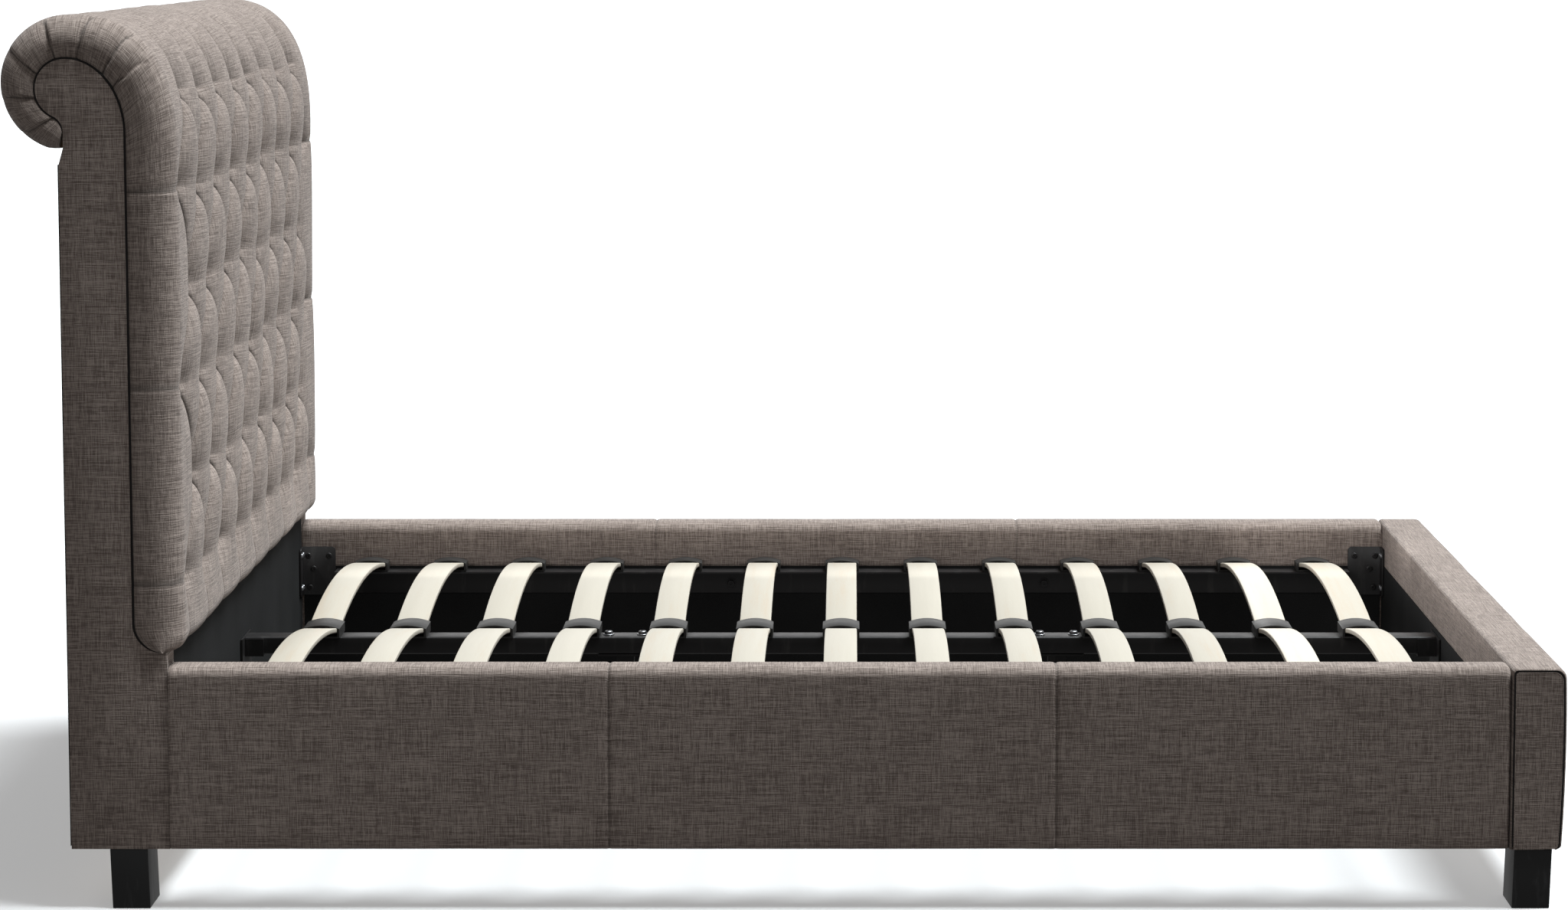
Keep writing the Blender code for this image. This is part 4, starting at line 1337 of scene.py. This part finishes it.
class BED_OT_footboard(bpy.types.Operator):
    """Model the footboard with its boxed ends, and a thin near-black cord in their seams that paints the
    seam shadow
    """

    bl_idname = "sleigh_bed.footboard"
    bl_label = "Footboard"

    def execute(self, context):
        ends = [(0.0002, 0.0068), (0.0000, 0.0058), (0.0026, 0.0048), (0.0032, 0.0039), (0.0026, 0.0030),
                (0.0004, 0.0024), (0.0008, 0.0015), (0.0018, 0.0007), (0.0036, 0.0002), (0.0060, 0)]
        stations = [(HALF_WIDTH - d, s) for d, s in ends]
        inner = np.linspace(HALF_WIDTH - 0.02, -HALF_WIDTH + 0.02, 90)
        line = stations + [(y, 0.0) for y in inner] + [(-y, s) for y, s in reversed(stations)]
        rings = []
        for y, shrink in line:
            section = foot_section(shrink)
            calm = 0.0006 * math.sin(y * 11) + 0.0004 * math.sin(y * 31 + 2)
            section[5:-8, 0] -= max(0, calm)
            rings.append(np.column_stack([section[:, 0], np.full(len(section), y), section[:, 1]]))
        rings = np.array(rings)
        travel = np.array([y for y, _ in line])
        piece = swept("footboard_pad", rings, travel, 50)
        hollow = block(
            "hollow", (CORE_LOW.x - TOUCH, CORE_LOW.y - TOUCH, LEG_TOP - 0.05),
            (CORE_HIGH.x + TOUCH, CORE_HIGH.y + TOUCH, CORE_HIGH.z + TOUCH),
        )
        cut(piece, hollow)
        only(piece)
        bpy.ops.object.shade_smooth_by_angle(angle=math.radians(50))
        finish_piece(piece, "linen", "footboard_cover")
        radius = context.scene.bed_cloth.shadow_cord_radius * 0.6
        # Painted shadow: a thinner near-black cord along each end's seam stands in for the shadow in the
        # seam
        for side, sign in SIDES:
            seam = foot_section(0.0040)[1:]
            y = sign * (HALF_WIDTH - 0.0022)
            points = [(x, y, z) for x, z in seam]
            points.append((seam[-1][0], y, LEG_TOP + 0.004))
            made = cord(f"foot_shadow_cord_{side}", points, radius)
            finish_piece(made, "shadow_cord")
        return {"FINISHED"}


# ---------------------------------------------------------------- slats, holders and steel


def slat_names(side):
    return sorted(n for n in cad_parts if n.startswith("slat_") and n.endswith(side))


class BED_OT_slats(bpy.types.Operator):
    """Bend the laminated slats"""

    bl_idname = "sleigh_bed.slats"
    bl_label = "Slats"

    def execute(self, context):
        sizes = context.scene.bed_slat
        near, far = SLAT_LOW.y, SLAT_HIGH.y
        half = (far - near) / 2
        radius = (half**2 + sizes.rise**2) / (2 * sizes.rise)
        swing = math.asin(half / radius)
        under = radius - sizes.thickness
        centre = Vector((0, (near + far) / 2, SLAT_LOW.z - under * math.cos(swing)))
        width = SLAT_HIGH.x - SLAT_LOW.x
        bpy.ops.object.select_all(action="DESELECT")
        bpy.ops.mesh.primitive_plane_add(size=1, location=(0, 0, 0))
        piece = named("slat")
        piece.scale = (width, sizes.thickness, 1)
        piece.rotation_euler = (math.pi / 2, 0, 0)
        settle(piece)
        piece.location = (0, centre.y, centre.z + radius - sizes.thickness / 2)
        settle(piece)
        piece.data.transform(
            Matrix.Translation(centre) @ Matrix.Rotation(swing, 4, "X") @ Matrix.Translation(-centre)
        )
        only(piece)
        bpy.ops.object.mode_set(mode="EDIT")
        bpy.ops.mesh.select_all(action="SELECT")
        bpy.ops.mesh.spin(steps=28, angle=2 * swing, center=centre, axis=(1, 0, 0))
        bpy.ops.mesh.select_all(action="SELECT")
        bpy.ops.mesh.remove_doubles(threshold=1e-6)
        bpy.ops.mesh.normals_make_consistent(inside=False)
        bpy.ops.object.mode_set(mode="OBJECT")
        eased(piece, 0.0016, 2, 60)
        for side, sign in SIDES:
            for name in slat_names(side):
                low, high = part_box(name)
                middle = (low.x + high.x) / 2
                made = copied(piece, f"bowed_{name}", (middle, 0, 0))
                if sign < 0:
                    turned = mirrored(made, f"turned_{name}")
                    bpy.data.objects.remove(made)
                    turned.name = f"bowed_{name}"
                    made = turned
                finish_piece(made, "slat", name)
        bpy.data.objects.remove(piece)
        return {"FINISHED"}


def support_top():
    """Top of the ledgers' shelves and of the centre rail."""
    return SLAT_LOW.z - TOUCH - 0.003


def arch(half, floor, top, sag):
    """A block's end outline with an arched top."""
    radius = (half**2 + sag**2) / (2 * sag)
    swing = math.degrees(math.asin(half / radius))
    curve = curve_points((0, top - radius), (radius, radius), 90 - swing, 90 + swing, 15)
    return np.concatenate([[(-half, floor), (half, floor)], curve])


def holder(name, low_y, high_y, pockets, sizes):
    """A moulded holder with an arched top, at X zero, with pockets between the given Y values."""
    half = (SLAT_HIGH.x - SLAT_LOW.x) / 2 + 0.0005 + sizes.holder_wall
    piece = plate(name, arch(half, support_top() + 0.0001, HOLDER_TOP, 0.0062), low_y, high_y)
    inner = half - sizes.holder_wall
    for low, high in pockets:
        outline = arch(inner, SLAT_LOW.z - TOUCH, HOLDER_TOP - 0.0022, 0.0035)
        cut(piece, plate("pocket", outline, low, high))
    return eased(piece, 0.0007, 2, 50)


class BED_OT_holders(bpy.types.Operator):
    """Mould the outer and the double slat holders"""

    bl_idname = "sleigh_bed.holders"
    bl_label = "Slat holders"

    def execute(self, context):
        sizes = context.scene.bed_slat
        outer = SLAT_HIGH.y + TOUCH
        right = holder(
            "holder", outer - sizes.holder_length, outer + sizes.holder_wall,
            [(outer - 2 * sizes.holder_length, outer)], sizes,
        )
        left = mirrored(right, "holder_left")
        inner = SLAT_LOW.y - TOUCH
        reach = inner + sizes.holder_length
        double = holder(
            "double_holder", -reach, reach, [(inner, 2 * reach), (-2 * reach, -inner)], sizes,
        )
        for number, name in enumerate(slat_names("right"), 1):
            low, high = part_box(name)
            shift = ((low.x + high.x) / 2, 0, 0)
            finish_piece(copied(right, f"slat_holder_{number:02d}_right", shift), "holder")
            finish_piece(copied(left, f"slat_holder_{number:02d}_left", shift), "holder")
            finish_piece(copied(double, f"slat_holder_{number:02d}_middle", shift), "holder")
        for piece in (right, left, double):
            bpy.data.objects.remove(piece)
        return {"FINISHED"}


def bolt(radius, height, washer=0.0, washer_height=0.0012):
    """A button-head bolt with a hexagon socket, with or without a washer, standing on the origin along Z."""
    seat = washer_height if washer else 0.0
    top = seat + height
    head = disc("bolt", (0, 0, seat), radius, height, "Z", 24)
    bevel_where(head, lambda middle, along: middle.z > top - 1e-4, height * 0.45, 3)
    cut(head, disc("socket", (0, 0, top - height * 0.55), radius * 0.5, height, "Z", 6))
    only(head)
    bpy.ops.object.shade_smooth_by_angle(angle=math.radians(40))
    if not washer:
        return head
    ring = eased(disc("washer", (0, 0, 0), washer, washer_height, "Z", 28), 0.0003, 1)
    return joined("bolt", [head, ring])


def driven(model, places, axis):
    """Copies of a bolt at each place, standing along an axis."""
    turn = Vector((0, 0, 1)).rotation_difference(Vector(axis)).to_matrix().to_4x4()
    made = []
    for place in places:
        made.append(copied(model, "bolt", (0, 0, 0)))
        made[-1].data.transform(Matrix.Translation(place) @ turn)
    return made


class BED_OT_steelwork(bpy.types.Operator):
    """Make the ledgers, the centre rail, the corner brackets and their bolts"""

    bl_idname = "sleigh_bed.steelwork"
    bl_label = "Steelwork"

    def execute(self, context):
        metal = context.scene.bed_metal
        self.ledgers(metal)
        self.centre_rail(metal)
        self.brackets(metal)
        for name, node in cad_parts.items():
            if name.startswith(("centre_rail_cup", "centre_leg")):
                node.data.materials.clear()
                node.data.materials.append(FINISHES["steel"])
        return {"FINISHED"}

    def ledgers(self, metal):
        top, steel = support_top(), metal.steel
        low, high = LEDGER_LOW, LEDGER_HIGH
        shelf = block("ledger", (low.x, low.y, top - steel), (high.x, high.y, top))
        web = block("plate", (low.x, high.y - steel, low.z), (high.x, high.y, top - steel / 2))
        modifier(shelf, "BOOLEAN", operation="UNION", object=web)
        bpy.data.objects.remove(web)
        bevel_where(
            shelf, lambda m, d: abs(d.x) > 0.9 and abs(m.z - (top - steel)) < 1e-4
            and abs(m.y - (high.y - steel)) < 1e-4, 0.003, 3,
        )
        right = eased(shelf, 0.0006, 2, 40)
        left = mirrored(right, "ledger_left")
        right.name, right.data.name = "ledger_right", "ledger_right"
        span = high.x - low.x
        model = bolt(metal.bolt_head, 0.0045, 0.010)
        for side, sign, piece in (("left", -1, left), ("right", 1, right)):
            finish_piece(piece, "steel", f"side_ledger_{side}")
            places = [
                (low.x + span * share, sign * (high.y - steel), low.z + 0.018) for share in (0.39, 0.70)
            ]
            finish_piece(joined(f"ledger_bolts_{side}", driven(model, places, (0, -sign, 0))), "steel")
        bpy.data.objects.remove(model)

    def centre_rail(self, metal):
        top = support_top()
        half = 0.025
        piece = block("centre_tube", (TUBE_LOW.x, -half, TUBE_LOW.z), (TUBE_HIGH.x, half, top))
        bevel_where(piece, lambda m, d: abs(d.x) > 0.9, 0.0035, 4)
        wall = 0.002
        bore = block(
            "bore", (TUBE_LOW.x - 0.01, -half + wall, TUBE_LOW.z + wall),
            (TUBE_HIGH.x + 0.01, half - wall, top - wall),
        )
        cut(piece, bore)
        only(piece)
        bpy.ops.object.shade_smooth_by_angle(angle=math.radians(35))
        finish_piece(piece, "steel", "centre_rail")
        places = []
        for end in ("head", "foot"):
            low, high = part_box(f"centre_leg_{end}")
            places += [((low.x + high.x) / 2 + side * 0.0293, 0, top) for side in (-1, 1)]
        model = bolt(metal.bolt_head, 0.0055, 0.010, 0.0015)
        finish_piece(joined("centre_leg_bolts", driven(model, places, (0, 0, 1))), "zinc")
        bpy.data.objects.remove(model)

    def brackets(self, metal):
        steel = metal.steel
        small = bolt(0.0058, 0.0035)
        screw = bolt(0.0048, 0.0028)
        for end, out in (("head", 1), ("foot", -1)):
            low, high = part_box(f"corner_bracket_{end}_right")
            start = low.x if out > 0 else high.x
            tip = high.x if out > 0 else low.x
            flange = block("bracket", (low.x, high.y - steel, low.z), (high.x, high.y, high.z))
            hook_low, hook_high = sorted((start, start + out * steel))
            hook = block("hook", (hook_low, low.y, low.z), (hook_high, high.y - steel / 2, high.z))
            modifier(flange, "BOOLEAN", operation="UNION", object=hook)
            bpy.data.objects.remove(hook)
            bevel_where(flange, lambda m, d: abs(d.y) > 0.9 and abs(m.x - tip) < 1e-4, 0.007, 4)
            bevel_where(flange, lambda m, d: abs(d.x) > 0.9 and abs(m.y - low.y) < 1e-4, 0.007, 4)
            right = eased(flange, 0.0005, 2, 40)
            left = mirrored(right, f"bracket_{end}_left")
            right.name, right.data.name = f"bracket_{end}_right", f"bracket_{end}_right"
            for side, sign, piece in (("left", -1, left), ("right", 1, right)):
                finish_piece(piece, "steel", f"corner_bracket_{end}_{side}")
                face = sign * (high.y - steel)
                places = [(start + out * reach, face, high.z - drop) for reach, drop in BRACKET_BOLTS]
                dark = driven(small, places, (0, -sign, 0))
                finish_piece(joined(f"bracket_bolts_{end}_{side}", dark), "steel")
                places = [
                    (start + out * steel, sign * (high.y - inward), high.z - drop)
                    for drop in (0.014, 0.076) for inward in (0.012, 0.030)
                ]
                bright = driven(screw, places, (out, 0, 0))
                finish_piece(joined(f"hook_screws_{end}_{side}", bright), "zinc")
        bpy.data.objects.remove(small)
        bpy.data.objects.remove(screw)


class BED_OT_legs(bpy.types.Operator):
    """Make the black block legs"""

    bl_idname = "sleigh_bed.legs"
    bl_label = "Legs"

    def execute(self, context):
        lean = context.scene.bed_metal.leg_lean
        for end, side in ((e, s) for e in ("head", "foot") for s, _ in SIDES):
            low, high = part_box(f"leg_{end}_{side}")
            shift = lean if end == "head" else -lean
            left = low.x if end == "head" else low.x + lean
            piece = block(f"block_leg_{end}_{side}", (left, low.y, low.z), (left + 0.058, high.y, high.z))
            for vertex in piece.data.vertices:
                if vertex.co.z < 0.01:
                    vertex.co.x += shift
            bevel_where(piece, lambda m, d: abs(d.z) > 0.9, 0.0022, 3)
            eased(piece, 0.0012, 2, 50)
            finish_piece(piece, "leg", f"leg_{end}_{side}")
        return {"FINISHED"}


class BED_OT_timber(bpy.types.Operator):
    """Finish the timber inside the upholstery"""

    bl_idname = "sleigh_bed.timber"
    bl_label = "Inner timber"

    def execute(self, context):
        for name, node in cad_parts.items():
            if name.startswith(("headboard_", "footboard_core", "side_rail_board")) and not node.hide_render:
                node.data.materials.clear()
                node.data.materials.append(FINISHES["timber"])
        return {"FINISHED"}


# ---------------------------------------------------------------- stage


class BED_OT_stage(bpy.types.Operator):
    """Set up the floor, the light and the camera"""

    bl_idname = "sleigh_bed.stage"
    bl_label = "Stage"

    def execute(self, context):
        stage = context.scene.bed_stage
        bpy.ops.object.select_all(action="DESELECT")
        bpy.ops.mesh.primitive_plane_add(size=500, location=(0, 0, 0))
        floor = named("floor")
        floor_finish = Finish("pale_floor", Roughness=0.9)
        cloud = floor_finish.noise(floor_finish.solid_map((0.4, 0.4, 0.4)))
        base = tuple(stage.floor)
        floor.data.materials.append(
            floor_finish.surface(
                Base_Color=floor_finish.blend(cloud, base, tuple(c * 0.985 for c in base)),
                Emission_Color=(1, 1, 1), Emission_Strength=0.30,
            )
        )
        floor.visible_diffuse = False
        floor.visible_glossy = False
        self.sun("key_light", (0.37, 0.05, 0.93), stage.key, 28)
        above = RAIL_HIGH.z + 0.06
        self.reflector("well_light", (0.24, 0, HOLDER_TOP + 0.028), (0, 0, 1), (1.6, 1.3), stage.well)
        self.reflector("foot_light", (FOOT_INNER - 0.30, 0, above), (1, 0, -0.3), (1.4, 0.12), stage.bounce)
        self.reflector("rail_light", (0.1, 0.38, above), (0, 1, -0.3), (2.0, 0.12), stage.bounce * 0.8)
        world = bpy.data.worlds.new("studio")
        world.use_nodes = True
        self.surroundings(world.node_tree, stage)
        context.scene.world = world
        context.scene.view_settings.view_transform = "Standard"
        context.scene.view_settings.look = "None"
        self.camera(context, stage)
        return {"FINISHED"}

    def surroundings(self, tree, stage):
        """Even light, with a bright backdrop low behind the bed."""
        sky = Nodes(tree)
        place = sky.add("ShaderNodeTexCoord")
        depth = sky.add("ShaderNodeSeparateXYZ", None, {0: place}, output=1)
        height = sky.add("ShaderNodeSeparateXYZ", None, {0: place}, output=2)
        behind = ((depth - 0.25) * 2.5).clamped()
        low = (1.0 - (height - 0.20) * 4.0).clamped() * (height * 20.0 + 1.0).clamped()
        background = tree.nodes["Background"]
        sky.feed(background.inputs["Color"], (1, 1, 1))
        sky.feed(background.inputs["Strength"], behind * low * stage.backdrop + stage.fill)

    def sun(self, name, direction, strength, spread):
        light = bpy.data.lights.new(name, "SUN")
        light.energy = strength
        light.angle = math.radians(spread)
        light.color = (0.96, 1.02, 1.05)
        lamp = bpy.data.objects.new(name, light)
        lamp.rotation_euler = Vector(direction).to_track_quat("Z", "Y").to_euler()
        bpy.context.scene.collection.objects.link(lamp)

    def reflector(self, name, place, direction, size, power):
        """A flat light that throws back what the slats and the linings would."""
        glow = bpy.data.lights.new(name, "AREA")
        glow.shape = "RECTANGLE"
        glow.size = size[0]
        glow.size_y = size[1]
        glow.energy = power
        lamp = bpy.data.objects.new(name, glow)
        lamp.location = place
        lamp.rotation_euler = Vector(direction).to_track_quat("-Z", "Y").to_euler()
        lamp.visible_camera = False
        bpy.context.scene.collection.objects.link(lamp)

    def camera(self, context, stage):
        eye = bpy.data.cameras.new("camera")
        eye.lens = stage.lens
        eye.sensor_width = 36
        eye.shift_x, eye.shift_y = -0.0430, -0.0492
        eye.clip_start, eye.clip_end = 0.1, 600
        camera = bpy.data.objects.new("camera", eye)
        camera.location = (stage.aim_x, -HALF_WIDTH - stage.distance, stage.height)
        camera.rotation_euler = (math.pi / 2 - stage.tilt, 0, 0)
        context.scene.collection.objects.link(camera)
        context.scene.camera = camera


class BED_PT_panel(bpy.types.Panel):
    """Lists the pieces of the bed"""

    bl_label = "Sleigh bed"
    bl_idname = "BED_PT_panel"
    bl_space_type = "VIEW_3D"
    bl_region_type = "UI"
    bl_category = "Sleigh bed"

    def draw(self, context):
        layout = self.layout
        for group in GROUPS:
            box = layout.box()
            box.label(text=group.__doc__)
            for key in group.__annotations__:
                box.prop(getattr(context.scene, GROUPS[group]), key)
        for step in STEPS:
            layout.operator(step.bl_idname)


GROUPS = {
    BedCloth: "bed_cloth",
    BedScroll: "bed_scroll",
    BedTufting: "bed_tufting",
    BedSlat: "bed_slat",
    BedMetal: "bed_metal",
    BedStage: "bed_stage",
}
STEPS = (
    BED_OT_stage,
    BED_OT_headboard_pad,
    BED_OT_headboard_ends,
    BED_OT_side_rails,
    BED_OT_footboard,
    BED_OT_black_cloths,
    BED_OT_slats,
    BED_OT_holders,
    BED_OT_steelwork,
    BED_OT_legs,
    BED_OT_timber,
)


def register():
    for made in (*GROUPS, *STEPS, BED_PT_panel):
        bpy.utils.register_class(made)
    for group, name in GROUPS.items():
        setattr(bpy.types.Scene, name, PointerProperty(type=group))


def unregister():
    for name in GROUPS.values():
        delattr(bpy.types.Scene, name)
    for made in reversed((*GROUPS, *STEPS, BED_PT_panel)):
        bpy.utils.unregister_class(made)


def main():
    register()
    FINISHES.update(make_finishes(bpy.context.scene))
    for step in STEPS:
        group, name = step.bl_idname.split(".")
        getattr(getattr(bpy.ops, group), name)()


if __name__ == "__main__":
    main()
